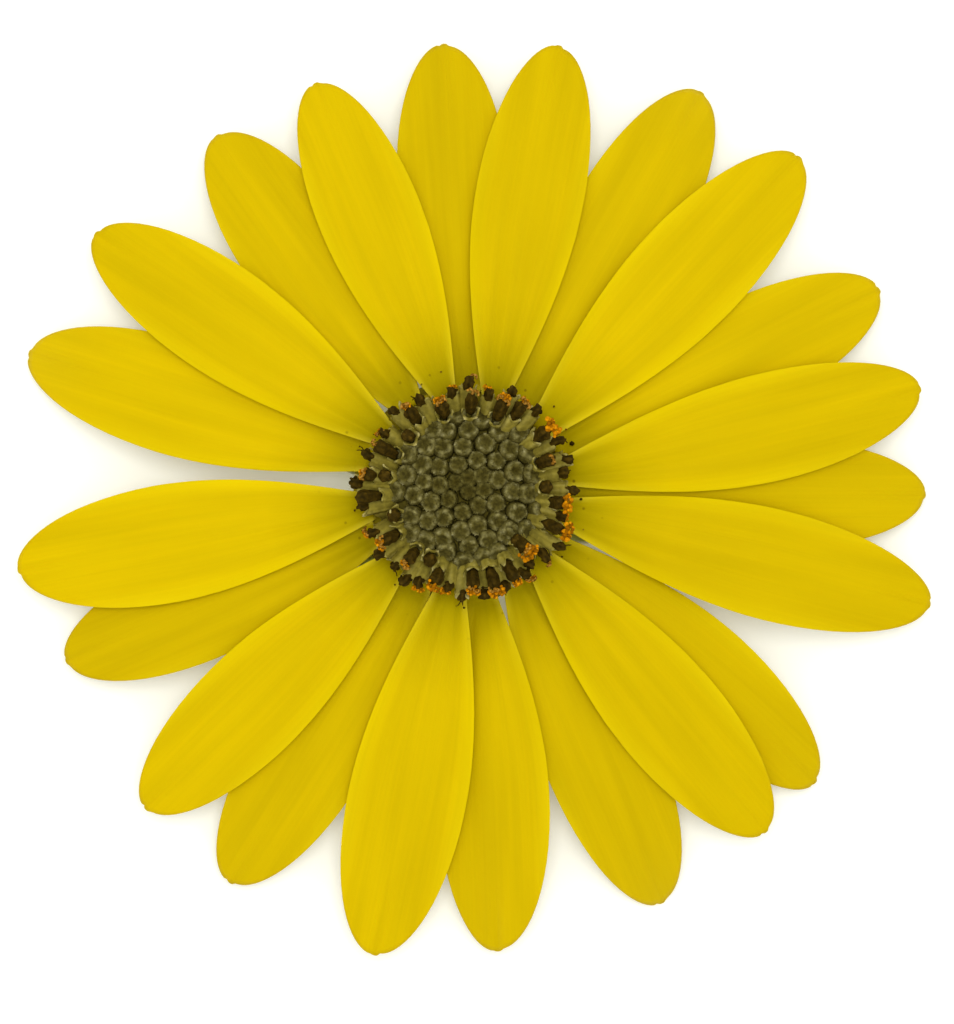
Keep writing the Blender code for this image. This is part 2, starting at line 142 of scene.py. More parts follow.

# Each petal: tip heading, reach, root heading, breadth, sideways bow, tip curl, the level,
# 0 under or 1 over, of its clockwise and anticlockwise edge, and its painted light and shade
PETALS = (
    (92.7, 31.9, 88.5, 8.0, 0.0, -0.2, 0, 0, 0.94),
    (78.0, 32.4, 71.6, 7.7, 0.15, 0.3, 1, 1, 0.98),
    (59.3, 33.1, 56.0, 8.1, 0.0, -0.87, 0, 0, 0.97),
    (44.8, 33.7, 38.5, 8.0, 0.0, 0.2, 1, 1, 1.03),
    (25.8, 32.9, 24.5, 8.0, 0.0, -0.2, 0, 0, 1.01),
    (12.5, 33.3, 10.0, 7.7, -0.2, 0.5, 1, 1, 0.99),
    (359.4, 32.9, 359.0, 7.9, 0.0, -0.3, 0, 0, 0.97),
    (346.1, 34.2, 347.8, 7.9, 0.0, 0.2, 1, 1, 0.97),
    (320.2, 32.6, 327.7, 7.5, 0.35, -0.3, 0, 0, 0.95),
    (311.4, 32.5, 317.2, 7.8, 0.0, 0.4, 1, 1, 0.98),
    (295.5, 32.7, 301.2, 8.1, 0.25, -1.12, 0, 0, 0.94),
    (274.2, 33.0, 278.6, 8.0, 0.2, 0.0, 0, 1, 0.97),
    (259.0, 33.8, 262.2, 8.4, 0.0, 0.5, 1, 1, 1.02),
    (239.1, 32.7, 243.5, 8.1, 0.0, -0.2, 0, 0, 0.97),
    (225.0, 32.2, 226.6, 7.7, 0.0, 0.2, 1, 1, 1.03),
    (203.3, 31.0, 206.5, 7.7, 0.0, -0.5, 0, 0, 0.95),
    (190.2, 32.4, 190.2, 8.4, 0.0, 0.3, 1, 1, 1.06),
    (162.5, 32.7, 160.5, 8.2, 0.0, -1.12, 0, 0, 1.05),
    (145.2, 32.1, 145.4, 7.8, -0.1, 0.4, 1, 1, 1.02),
    (125.0, 30.9, 123.5, 8.1, 0.0, -0.4, 0, 0, 0.99),
    (110.2, 30.9, 101.6, 7.3, 0.0, 0.2, 1, 1, 1.02),
)

# Buds: where each shows in the photo, read on a print enlarged 6 times round the flower's axis
READING_MIDDLE = 750
READING_STEP = PHOTO_PIXEL / 6.0
BUD_READINGS = (
    (705, 305), (850, 325), (570, 400), (640, 400), (770, 400), (950, 405), (1065, 415),
    (1130, 525), (520, 490), (620, 500), (740, 500), (870, 480), (1010, 515), (500, 600),
    (600, 615), (710, 605), (820, 575), (935, 580), (1040, 640), (1150, 655), (410, 665),
    (510, 700), (600, 720), (695, 705), (850, 665), (940, 690), (860, 750), (1025, 760),
    (1120, 770), (340, 755), (455, 780), (550, 820), (655, 805), (770, 760), (830, 840),
    (930, 830), (1055, 880), (1195, 860), (435, 900), (535, 930), (630, 910), (735, 880),
    (825, 955), (940, 930), (1010, 985), (1110, 985), (430, 1000), (520, 1050), (620, 1030),
    (725, 990), (770, 1075), (885, 1040), (990, 1010), (640, 1110), (745, 1170), (860, 1150),
    (940, 1120), (768, 680), (415, 540),
)
BUD_EDGE_RADIUS = 5.3 * MM
BUD_MIDDLE_SIZE = 0.67 * MM
BUD_EDGE_SIZE = 0.84 * MM
BUD_TURNS = 25
BUD_RINGS = 14
BUD_HALF_HEIGHT = 0.85 * MM
BUD_SINK = 0.15 * MM
BUD_LOBES = 5
BUD_PIT = 0.36
BUD_ROUGH = 0.12
BUD_LEAN = 0.55
FILLER_STEP = 0.25 * MM
FILLER_GAP = 0.9 * MM
FILLER_REACH = 2.4 * MM
FILLER_SHRINK = 0.85
BUD_GROOVE = 0.14
BUD_LOBE_SWELL = 0.07
BUD_GRAIN = 1.7
BUD_MOTTLE_GRAIN = 2.2
BUD_FIRST_TONE = 0.2
# Painted shade over the middle of the disc: the buds' colour factor at the axis, and the share of
# the radius over which it fades out
CENTRE_PAINTED_SHADE = 0.34
CENTRE_SHARE = 0.55
PAPILLAE_PER_BUD = 50
PAPILLA_RADIUS = 0.048 * MM
PAPILLA_STRETCH = 1.6
BED_MIDDLE_Z = 6.6 * MM
BED_EDGE_Z = 7.0 * MM
BED_RADIUS = 4.9 * MM
BED_OUTER_RADIUS = 6.6 * MM
BED_SEAT_Z = 5.4 * MM
BED_RIBS = 46
BED_RIB_STEPS = 6
BED_RIB_DEPTH = 0.06

# Open florets of the tall row: heading, radius where the anther tube leaves its corolla,
# radius of its tip, width of its pollen clump or 0, and 1 where a pale stigma shows
TALL_FLORETS = (
    (56, 6.1, 7.4, 0.6, 1), (36, 6.1, 7.3, 1.15, 0), (19.5, 5.6, 6.6, 0.0, 1),
    (352, 6.1, 7.0, 1.05, 0), (337.5, 6.0, 7.5, 1.1, 0), (316.5, 5.2, 6.0, 1.25, 1),
    (299.5, 5.9, 7.4, 0.6, 0), (287.5, 5.9, 7.3, 1.0, 1), (275, 5.8, 7.0, 0.85, 1),
    (252, 5.9, 7.0, 0.85, 0), (231, 5.5, 6.6, 0.6, 1), (212.5, 5.7, 6.9, 0.8, 1),
    (184, 6.0, 7.7, 0.0, 0), (171.5, 6.5, 7.2, 0.65, 1), (153, 5.5, 7.1, 0.0, 1),
    (125, 5.8, 7.1, 0.5, 1), (105.5, 5.5, 6.4, 0.75, 1), (86, 5.5, 6.8, 0.0, 1),
    (66.3, 5.5, 6.9, 0.75, 1),
)

# Florets of the tall row that are still shut, seen nearly end on: heading, radius
SHUT_FLORETS = ((2, 5.6), (243.5, 5.4), (200, 5.2), (170, 5.6), (136.5, 5.4), (316, 5.0))

# Open florets of the low row, which lean out over the petals: the same values
LOW_FLORETS = (
    (48.5, 7.1, 8.0, 0.0, 0), (28.5, 6.8, 8.0, 0.0, 0), (17.5, 7.2, 8.0, 0.0, 0),
    (10, 6.6, 7.5, 0.0, 0), (0.5, 7.1, 8.1, 0.0, 0), (345, 6.7, 7.4, 0.5, 0),
    (328, 7.3, 8.2, 0.0, 0), (321.5, 6.6, 7.9, 0.0, 1), (311, 6.6, 7.3, 0.0, 0),
    (304, 6.7, 7.8, 0.6, 1), (293, 7.0, 7.7, 0.0, 0), (281, 7.0, 7.9, 0.0, 0),
    (269, 7.1, 7.9, 0.0, 0), (261.4, 6.7, 7.2, 0.7, 0), (243, 7.0, 7.6, 0.75, 0),
    (237.5, 7.2, 8.1, 0.0, 0), (227, 7.0, 7.6, 0.0, 0), (218, 7.1, 8.0, 0.0, 0),
    (206, 6.8, 7.6, 0.6, 1), (190, 6.9, 7.7, 0.0, 0), (177, 7.3, 8.2, 0.0, 0),
    (161, 6.8, 7.8, 0.0, 0), (143.5, 6.6, 7.3, 0.5, 1), (131, 7.1, 7.9, 0.0, 0),
    (115.5, 6.7, 7.5, 0.0, 0), (98, 6.6, 7.3, 0.5, 0), (88.5, 7.1, 8.1, 0.0, 1),
    (75, 6.6, 7.3, 0.6, 0), (64, 7.4, 8.0, 0.0, 0),
)

# Sizes of one open floret
TALL_FOOT = (5.1 * MM, 6.9 * MM)
TALL_KNEE = (5.4 * MM, 7.3 * MM)
LOW_FOOT = (5.3 * MM, 6.9 * MM)
LOW_KNEE = (6.1 * MM, 7.45 * MM)
COROLLA_TURNS = 25
COROLLA_ROWS = 9
COROLLA_FOOT = 0.5 * MM
TALL_MOUTH_Z = 7.65 * MM
LOW_MOUTH_Z = 7.3 * MM
TALL_TIP_Z = 8.4 * MM
TALL_CLIMB = 0.75
LOW_TIP_Z = 7.75 * MM
SHUT_TIP_Z = 8.5 * MM
MOUTH_RADIUS = 0.52 * MM
LOBE_COUNT = 5
LOBE_START = 0.6
LOBE_LENGTH = 0.85 * MM
LOBE_FLARE = 0.2 * MM
COROLLA_THICKNESS = 0.13 * MM
ANTHER_TURNS = 15
ANTHER_ROWS = 12
ANTHER_RADIUS = 0.43 * MM
ANTHER_RIDGES = 5.0
ANTHER_RIDGE = 0.07
ANTHER_TEETH = 0.24
ANTHER_ROUGH = 0.28
ANTHER_FOOT_END = 0.12
ANTHER_TIP_END = 0.22
TALL_WIDTHS = (0.95, 1.1)
LOW_WIDTHS = (0.68, 0.86)
SHUT_WIDTH = 1.05
TALL_WARMTH = 0.15
LOW_WARMTH = 0.12
SHUT_WARMTH = 0.2
THREADS_PER_FLORET = 2
THREAD_RADIUS = 0.04 * MM
THREAD_LENGTH = 0.5 * MM
THREAD_ROOT = 0.2 * MM
THREAD_DROP = 0.2 * MM
THREAD_SWING = 70.0
THREAD_TWIST = 40.0
THREAD_TONE = 0.1
LOW_NOD = 3.0
LOW_ROUGH = 0.6

# Pollen: each clump is two curls of grains
GRAINS_PER_CURL = 14
CURL_TURN = 4.4
CURL_SIZE = 0.25
GRAIN_TURNS = 7
GRAIN_RINGS = 5
GRAIN_SIZES = (0.09, 0.17)
GRAIN_SCATTER = 0.05
CLUMP_HEART = 0.2
LOW_POLLEN_LIFT = 0.08 * MM

# Stigmas: two arms that curl away from each other
STIGMA_RADIUS = 0.1 * MM
STIGMA_CURL = 0.17 * MM
STIGMA_TURN = 3.1
STIGMA_CLIMB = 0.42 * MM
STIGMA_ROOT = 0.12 * MM
STIGMA_END = 0.15
STIGMA_ROWS = 14
STIGMA_SIZES = (0.6, 1.5)
STIGMA_SWING = 40.0
HORN_TURNS = 7
HORN_ROWS = 8
HORN_END = 0.25

# Loose dark crumbs on the petals round the ring: heading, radius, size and tone
CRUMBS = (
    (23.6, 8.27, 0.17, 0.2), (31, 8.35, 0.07, 0.9), (43.2, 8.65, 0.08, 0.8),
    (112.5, 8.1, 0.07, 0.8), (157.5, 8.1, 0.06, 0.7), (190.5, 7.95, 0.08, 0.5),
    (233.5, 8.35, 0.07, 0.6), (269.5, 8.35, 0.08, 0.5), (325.5, 8.35, 0.07, 0.6),
    (355.5, 8.25, 0.1, 0.3), (101.5, 8.55, 0.06, 0.9), (341.5, 8.85, 0.05, 0.9),
)
CRUMB_DROP_FROM = 20.0 * MM

# Green piece: cut stub, involucre cup and bracts, whose lines are (radius, height)
CUP_PROFILE = (
    (0.0, 5.35), (4.6, 5.35), (5.4, 5.1), (7.2, 5.1), (7.3, 5.0), (7.35, 4.05), (7.9, 3.95),
    (7.95, 3.6), (7.4, 3.0), (6.5, 2.45), (5.5, 2.0), (4.5, 1.66), (3.5, 1.4), (2.7, 1.15),
    (2.1, 0.95), (1.9, 0.7), (1.88, 0.35), (1.98, 0.08), (1.92, 0.0), (1.2, 0.0), (0.0, 0.0),
)
CUP_TURNS = 72
INNER_BRACT_HEADINGS = (
    10, 36, 66.6, 88.5, 104, 124, 147, 166, 191, 216, 234, 251.5, 281, 300, 320, 339.5,
)
INNER_BRACT_WIDTH = 2.3 * MM
INNER_BRACT_LINE = ((5.2, 2.1), (6.4, 2.55), (7.5, 3.05), (8.6, 3.35), (9.8, 3.5))
OUTER_BRACT_COUNT = 12
OUTER_BRACT_FIRST_HEADING = 11
OUTER_BRACT_WIDTH = 2.0 * MM
OUTER_BRACT_LINE = ((3.3, 1.5), (4.8, 1.75), (6.4, 2.2), (8.1, 2.7))
BRACT_COLUMNS = 8
BRACT_ROWS = 16
BRACT_THICKNESS = 0.4 * MM
BRACT_KEEL = 0.18 * MM
BRACT_SWAY = 0.15
MARGIN_START = 0.55
MARGIN_TONE = 0.9
PALE_TIP_START = 0.7
PALE_TIP_TONE = 0.25
HAIR_COUNT = 260
HAIR_LENGTH = 0.5 * MM
HAIR_RADIUS = 0.022 * MM
HAIR_FIRST_RADIUS = 1.9 * MM
HAIR_BAND = 3.2 * MM
HAIR_FIRST_Z = 0.45 * MM
HAIR_RISE = 1.25 * MM


def polar(radius, heading, height=0.0):
    """Point at a radius and a heading in degrees round the flower's axis."""
    turn = math.radians(heading)
    return Vector((radius * math.cos(turn), radius * math.sin(turn), height))


def in_metres(line):
    """A line of (radius, height) points in millimetres, in metres."""
    return [(radius * MM, height * MM) for radius, height in line]


def smooth_step(value):
    """Ease from 0 to 1 as value goes from 0 to 1."""
    value = min(max(value, 0.0), 1.0)
    return value * value * (3.0 - 2.0 * value)


def bell(value, middle, width):
    """Soft bump, 1 at its middle."""
    return math.exp(-(((value - middle) / width) ** 2))


def round_off(value):
    """Quarter circle that rises from 0 to 1 as value goes from 0 to 1, and then stays."""
    return math.sqrt(max(0.0, 1.0 - (1.0 - min(value, 1.0)) ** 2))


def tint(red, green, blue):
    """Linear colour of a 0 to 255 screen colour."""
    linear = []
    for value in (red, green, blue):
        share = value / 255.0
        linear.append(share / 12.92 if share <= 0.04045 else ((share + 0.055) / 1.055) ** 2.4)
    return (*linear, 1.0)


# Materials


def make_material(name, roughness, specular, gloss_tint=WHITE):
    """Principled material, with its node tree and shader."""
    material = bpy.data.materials.new(name)
    material.use_nodes = True
    shader = material.node_tree.nodes["Principled BSDF"]
    shader.inputs["Roughness"].default_value = roughness
    shader.inputs["Specular IOR Level"].default_value = specular
    shader.inputs["Specular Tint"].default_value = gloss_tint
    return material, material.node_tree, shader


def add_ramp(tree, source, *stops):
    """Colour that a value picks from stops of (position, red, green, blue)."""
    ramp = tree.nodes.new("ShaderNodeValToRGB")
    elements = ramp.color_ramp.elements
    for index, (position, *colour) in enumerate(stops):
        element = elements[index] if index < 2 else elements.new(position)
        element.position = position
        element.color = tint(*colour)
    tree.links.new(source, ramp.inputs["Fac"])
    return ramp.outputs["Color"]


def add_attribute(tree, name):
    """Value that a piece carries on its points."""
    reader = tree.nodes.new("ShaderNodeAttribute")
    reader.attribute_name = name
    return reader.outputs["Fac"]


def add_noise(tree, source, scale, detail, stretch=(1.0, 1.0, 1.0)):
    """Noise on Object coordinates or a UV map, stretched along an axis."""
    mapping = tree.nodes.new("ShaderNodeMapping")
    mapping.inputs["Scale"].default_value = stretch
    pattern = tree.nodes.new("ShaderNodeTexNoise")
    pattern.inputs["Scale"].default_value = scale
    pattern.inputs["Detail"].default_value = detail
    tree.links.new(source, mapping.inputs["Vector"])
    tree.links.new(mapping.outputs["Vector"], pattern.inputs["Vector"])
    return pattern.outputs["Fac"]


def add_petal_noise(tree, detail, stretch):
    """Noise that runs along a petal, on the petal's own map in millimetres."""
    uv = tree.nodes.new("ShaderNodeUVMap")
    uv.uv_map = "petal"
    return add_noise(tree, uv.outputs["UV"], 1.0, detail, stretch)


def object_places(tree):
    """Place of each point in the frame, in metres."""
    return tree.nodes.new("ShaderNodeTexCoord").outputs["Object"]


def add_range(tree, source, low, high, to_low, to_high):
    """Value carried from one range to another."""
    change = tree.nodes.new("ShaderNodeMapRange")
    change.inputs["From Min"].default_value = low
    change.inputs["From Max"].default_value = high
    change.inputs["To Min"].default_value = to_low
    change.inputs["To Max"].default_value = to_high
    tree.links.new(source, change.inputs["Value"])
    return change.outputs["Result"]


def add_mix(tree, share, first, second, blend="MIX"):
    """Mix of two colours, each a socket or a fixed colour."""
    mix = tree.nodes.new("ShaderNodeMix")
    mix.data_type = "RGBA"
    mix.blend_type = blend
    # Each type of value has its own sockets: those for colours are inputs 6 and 7 and output 2
    sockets = (mix.inputs["Factor"], mix.inputs[6], mix.inputs[7])
    for socket, value in zip(sockets, (share, first, second)):
        if isinstance(value, bpy.types.NodeSocket):
            tree.links.new(value, socket)
        else:
            socket.default_value = value
    return mix.outputs[2]


def add_bump(tree, shader, height, distance, strength):
    """Fine relief on a shader."""
    bump = tree.nodes.new("ShaderNodeBump")
    bump.inputs["Distance"].default_value = distance
    bump.inputs["Strength"].default_value = strength
    tree.links.new(height, bump.inputs["Height"])
    tree.links.new(bump.outputs["Normal"], shader.inputs["Normal"])


def let_light_through(shader):
    """Let a petal glow a little from light inside it, because it is thin."""
    shader.inputs["Subsurface Weight"].default_value = PETAL_GLOW_SHARE
    shader.inputs["Subsurface Radius"].default_value = PETAL_GLOW_REACH
    shader.inputs["Subsurface Scale"].default_value = PETAL_GLOW_DEPTH


def petal_top_material():
    """Satin yellow: olive with painted shade at the root, fine veins, painted light along the
    edges and a few brown specks.
    """
    material, tree, shader = make_material("petal_top", 0.5, 0.2, PETAL_GLOSS)
    along = add_attribute(tree, "along")
    across = add_attribute(tree, "from_middle")
    # Darker towards the root: partly the petal's own olive and partly painted shade near the disc
    middle = add_ramp(
        tree, along, (0.0, 142, 124, 2), (0.07, 161, 142, 0), (0.2, 191, 164, 0),
        (0.3, 199, 170, 0), (1.0, 200, 171, 0),
    )
    # Lighter along the edges: painted light
    edge = add_ramp(
        tree, along, (0.0, 182, 166, 44), (0.1, 198, 176, 14), (0.3, 208, 181, 0),
        (1.0, 211, 185, 5),
    )
    edge_light_share = add_range(tree, across, EDGE_LIGHT_START, EDGE_LIGHT_END, 0.0, 1.0)
    colour = add_mix(tree, edge_light_share, middle, edge)
    veins = add_petal_noise(tree, 3.0, VEIN_STRETCH)
    bands = add_petal_noise(tree, 1.0, BAND_STRETCH)
    vein_shade = add_range(tree, veins, NOISE_LOW, NOISE_HIGH, 0.97, 1.02)
    band_shade = add_range(tree, bands, NOISE_LOW, NOISE_HIGH, 0.95, 1.05)
    colour = add_mix(tree, 1.0, colour, vein_shade, "MULTIPLY")
    colour = add_mix(tree, 1.0, colour, band_shade, "MULTIPLY")
    # Painted light and shade: each petal's colour is scaled by how much light falls on it
    colour = add_mix(tree, 1.0, colour, add_attribute(tree, "painted_light_shade"), "MULTIPLY")
    speckle = tree.nodes.new("ShaderNodeTexVoronoi")
    speckle.inputs["Scale"].default_value = SPECK_SCALE
    tree.links.new(object_places(tree), speckle.inputs["Vector"])
    from_speck = speckle.outputs["Distance"]
    speck_share = add_range(tree, from_speck, SPECK_CORE, SPECK_EDGE, 0.8, 0.0)
    near_root = add_range(tree, along, SPECK_FULL_TO, SPECK_NONE_FROM, 1.0, 0.0)
    speck = tree.nodes.new("ShaderNodeMath")
    speck.operation = "MULTIPLY"
    tree.links.new(speck_share, speck.inputs[0])
    tree.links.new(near_root, speck.inputs[1])
    colour = add_mix(tree, speck.outputs["Value"], colour, tint(88, 66, 6))
    tree.links.new(colour, shader.inputs["Base Color"])
    add_bump(tree, shader, veins, 0.02 * MM, 0.4)
    let_light_through(shader)
    return material


def petal_under_material():
    """Duller yellow underside with soft bronze stripes along its middle."""
    material, tree, shader = make_material("petal_under", 0.6, 0.2, PETAL_GLOSS)
    across = add_attribute(tree, "from_middle")
    stripes = add_ramp(
        tree, across, (0.0, 150, 128, 40), (0.3, 172, 150, 38), (0.45, 158, 136, 42),
        (0.7, 190, 168, 40), (1.0, 200, 178, 60),
    )
    veins = add_petal_noise(tree, 3.0, UNDER_VEIN_STRETCH)
    vein_shade = add_range(tree, veins, NOISE_LOW, NOISE_HIGH, 0.86, 1.08)
    colour = add_mix(tree, 1.0, stripes, vein_shade, "MULTIPLY")
    tree.links.new(colour, shader.inputs["Base Color"])
    add_bump(tree, shader, veins, 0.03 * MM, 0.5)
    let_light_through(shader)
    return material


def toned_material(name, stops, roughness, grain_scale, grain_depth, contrast=0.2):
    """Matte tissue coloured by each point's tone, with a fine felted grain."""
    material, tree, shader = make_material(name, roughness, TISSUE_SPECULAR, TISSUE_GLOSS)
    plain = add_ramp(tree, add_attribute(tree, "tone"), *stops)
    grain = add_noise(tree, object_places(tree), grain_scale, 3.0)
    dark, light = 1.0 - contrast, 1.0 + contrast
    grain_shade = add_range(tree, grain, GRAIN_LOW, GRAIN_HIGH, dark, light)
    colour = add_mix(tree, 1.0, plain, grain_shade, "MULTIPLY")
    tree.links.new(colour, shader.inputs["Base Color"])
    add_bump(tree, shader, grain, grain_depth, GRAIN_STRENGTH)
    return material


def bud_material():
    """Felted grey-green buds: pale on their lobes, partly their own felt and partly painted
    highlight, darker in their pits, with painted shade on their lower sides and over the middle of
    the disc.
    """
    stops = ((0.0, 52, 45, 8), (0.3, 81, 74, 31), (0.65, 116, 109, 64), (1.0, 147, 140, 97))
    return toned_material("bud_felt", stops, 0.85, 4400.0, 0.05 * MM, 0.3)


def corolla_material():
    """Olive tubes with pale curled lobes."""
    stops = ((0.0, 62, 54, 8), (0.45, 122, 110, 38), (0.75, 152, 140, 70), (1.0, 184, 172, 112))
    return toned_material("corolla_olive", stops, 0.65, 2600.0, 0.03 * MM)


def anther_material():
    """Dark brown ridged tubes, warmer where they still are shut."""
    stops = ((0.0, 36, 25, 0), (0.3, 52, 38, 2), (0.6, 74, 55, 8), (1.0, 112, 76, 20))
    return toned_material("anther_brown", stops, 0.7, 3600.0, 0.06 * MM, 0.35)


def pollen_material():
    """Powdery orange pollen."""
    stops = ((0.0, 118, 72, 0), (0.5, 176, 110, 0), (1.0, 214, 142, 4))
    return toned_material("pollen_orange", stops, 0.9, 6000.0, 0.04 * MM)


def stigma_material():
    """Stigma arms, peach to brown, with painted light on their tops and crests and painted shade
    underneath and in their folds.
    """
    stops = ((0.0, 62, 40, 4), (0.5, 124, 84, 16), (1.0, 176, 128, 50))
    return toned_material("stigma_peach", stops, 0.7, 4000.0, 0.02 * MM)


def cup_material():
    """Green cup and stub, browner where it was cut."""
    stops = (
        (0.0, 156, 154, 92), (0.15, 108, 112, 46), (0.6, 104, 114, 42), (0.85, 146, 134, 30),
        (1.0, 140, 124, 14),
    )
    return toned_material("cup_green", stops, 0.6, 1400.0, 0.05 * MM)


def bract_material():
    """Green bracts with thin pale margins."""
    stops = (
        (0.0, 160, 168, 74), (0.5, 182, 188, 104), (0.75, 216, 218, 160), (1.0, 238, 238, 210),
    )
    return toned_material("bract_green", stops, 0.6, 1400.0, 0.04 * MM)


def hair_material():
    """Pale short hairs."""
    stops = ((0.0, 170, 176, 130), (1.0, 206, 210, 180))
    return toned_material("stub_hair", stops, 0.7, 2000.0, 0.01 * MM)


def floor_material():
    """Plain pale studio floor with a faint mottle and glow."""
    material, tree, shader = make_material("studio_floor", 0.9, 0.1)
    mottle = add_noise(tree, object_places(tree), FLOOR_MOTTLE_SCALE, 2.0)
    colour = add_ramp(tree, mottle, (0.0, 243, 243, 237), (1.0, 248, 248, 242))
    tree.links.new(colour, shader.inputs["Base Color"])
    # Painted light: the floor glows faintly to lift the shadows on it, tinted yellow for light
    # bounced off the petals
    shader.inputs["Emission Color"].default_value = FLOOR_GLOW_COLOUR
    shader.inputs["Emission Strength"].default_value = FLOOR_GLOW
    return material


# Shape helpers


def add_object(name, data):
    """Object of the scene that shows a mesh or holds a lamp or camera."""
    holder = bpy.data.objects.new(name, data)
    bpy.context.scene.collection.objects.link(holder)
    return holder


def finish_piece(name, shape, materials, slot, *nodes):
    """Move a modelled shape to the flower's axis and make it a piece that stands for nodes."""
    bmesh.ops.translate(shape, verts=shape.verts[:], vec=FLOWER_AXIS)
    for face in shape.faces:
        face.smooth = True
    mesh = bpy.data.meshes.new(name)
    shape.to_mesh(mesh)
    shape.free()
    for material in materials:
        mesh.materials.append(material)
    piece = add_object(name, mesh)
    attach(piece, "root")
    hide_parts(*nodes)
    return piece


def weld(shape):
    """Join the points of a shape that meet."""
    bmesh.ops.remove_doubles(shape, verts=shape.verts[:], dist=SEAM_GAP)


def face_outwards(shape):
    """Turn every face of a shape to its outer side."""
    bmesh.ops.recalc_face_normals(shape, faces=shape.faces[:])


def give_thickness(piece, thickness):
    """Thicken a piece evenly to both sides of its surface."""
    solid = piece.modifiers.new("thickness", "SOLIDIFY")
    solid.thickness = thickness
    solid.offset = 0.0
    return solid


def toned_shape():
    """Empty shape whose points carry a tone, and the layer of that tone."""
    shape = bmesh.new()
    return shape, shape.verts.layers.float.new("tone")


def add_part(shape, part):
    """Add a small finished shape to a bigger one."""
    mesh = bpy.data.meshes.new("part")
    part.to_mesh(mesh)
    part.free()
    shape.from_mesh(mesh)
    bpy.data.meshes.remove(mesh)


def add_rolled_grid(shape, columns, rows, place):
    """Add a grid rolled into a tube; place(turn, along) gives each point and its tone."""
    part, tone = toned_shape()
    bmesh.ops.create_grid(part, x_segments=columns, y_segments=rows, size=1.0)
    for point in part.verts:
        turn = math.pi * (point.co.x + 1.0)
        along = 0.5 * (point.co.y + 1.0)
        point.co, point[tone] = place(turn, along)
    weld(part)
    add_part(shape, part)


def bend_point(bend, along):
    """Point of a smooth bend from its first to its last of three guide points."""
    first, middle, last = bend
    rest = 1.0 - along
    return first * rest * rest + middle * 2.0 * rest * along + last * along * along


def bend_frame(bend, along, side):
    """Two directions square to a bend at a share of its length."""
    first, middle, last = bend
    forward = ((middle - first) * (1.0 - along) + (last - middle) * along).normalized()
    across = (side - forward * side.dot(forward)).normalized()
    return across, forward.cross(across)


def tube_point(bend, along, side, turn, radius):
    """Point on a round tube that follows a bend."""
    across, upward = bend_frame(bend, along, side)
    return bend_point(bend, along) + (across * math.cos(turn) + upward * math.sin(turn)) * radius


# Petals


def petal_outline(share):
    """Half-breadth of a petal as a share of the widest, at a share of its length."""
    swell = math.sin(0.5 * math.pi * min(max(share, 0.0), WIDEST) / WIDEST)
    return ROOT_WIDTH_SHARE + (1.0 - ROOT_WIDTH_SHARE) * swell


def petal_end(across):
    """Share of the length at which a petal ends, from -1 at one edge to 1 at the other."""
    rounding = math.sqrt(max(0.0, 1.0 - across * across))
    return WIDEST + (1.0 - WIDEST) * rounding


def crown_height(radius):
    """Height of the lower petals' middle surface at a distance from the axis."""
    share = (radius - LOWER_ROOT_RADIUS) / (CROWN_RADIUS - LOWER_ROOT_RADIUS)
    seat = LOWER_LEDGE_Z + FIT_GAP + SEAT_TO_MIDDLE
    return seat + CROWN_RISE * share - CROWN_FALL * share * share


def petal_relief(across, along, seed):
    """Height of the channels, crease, gutter and ripples over the smooth petal."""
    body = smooth_step(along / 0.15) * smooth_step((1.02 - along) / 0.15)
    sway = 0.05 * noise.noise(Vector((along * 3.0, seed, 0.0)))
    channels = bell(across, CHANNEL_ACROSS + sway, CHANNEL_WIDTH)
    channels += bell(across, -CHANNEL_ACROSS + sway, CHANNEL_WIDTH)
    height = -CHANNEL_DEPTH * body * channels
    crease = smooth_step((along - CREASE_START) / (1.0 - CREASE_START))
    height -= CREASE_DEPTH * crease * bell(across, sway, CREASE_WIDTH)
    height += ROOT_GUTTER * (1.0 - smooth_step(along / 0.25)) * across * across
    height += RIPPLE_DEPTH * noise.noise(Vector((across * 1.2 + seed, along * 4.0, seed)))
    edge = abs(across) ** 3 * smooth_step(along / 0.3)
    height += EDGE_RIPPLE * edge * noise.noise(Vector((along * 6.0, across * 0.8, seed + 7.0)))
    return height


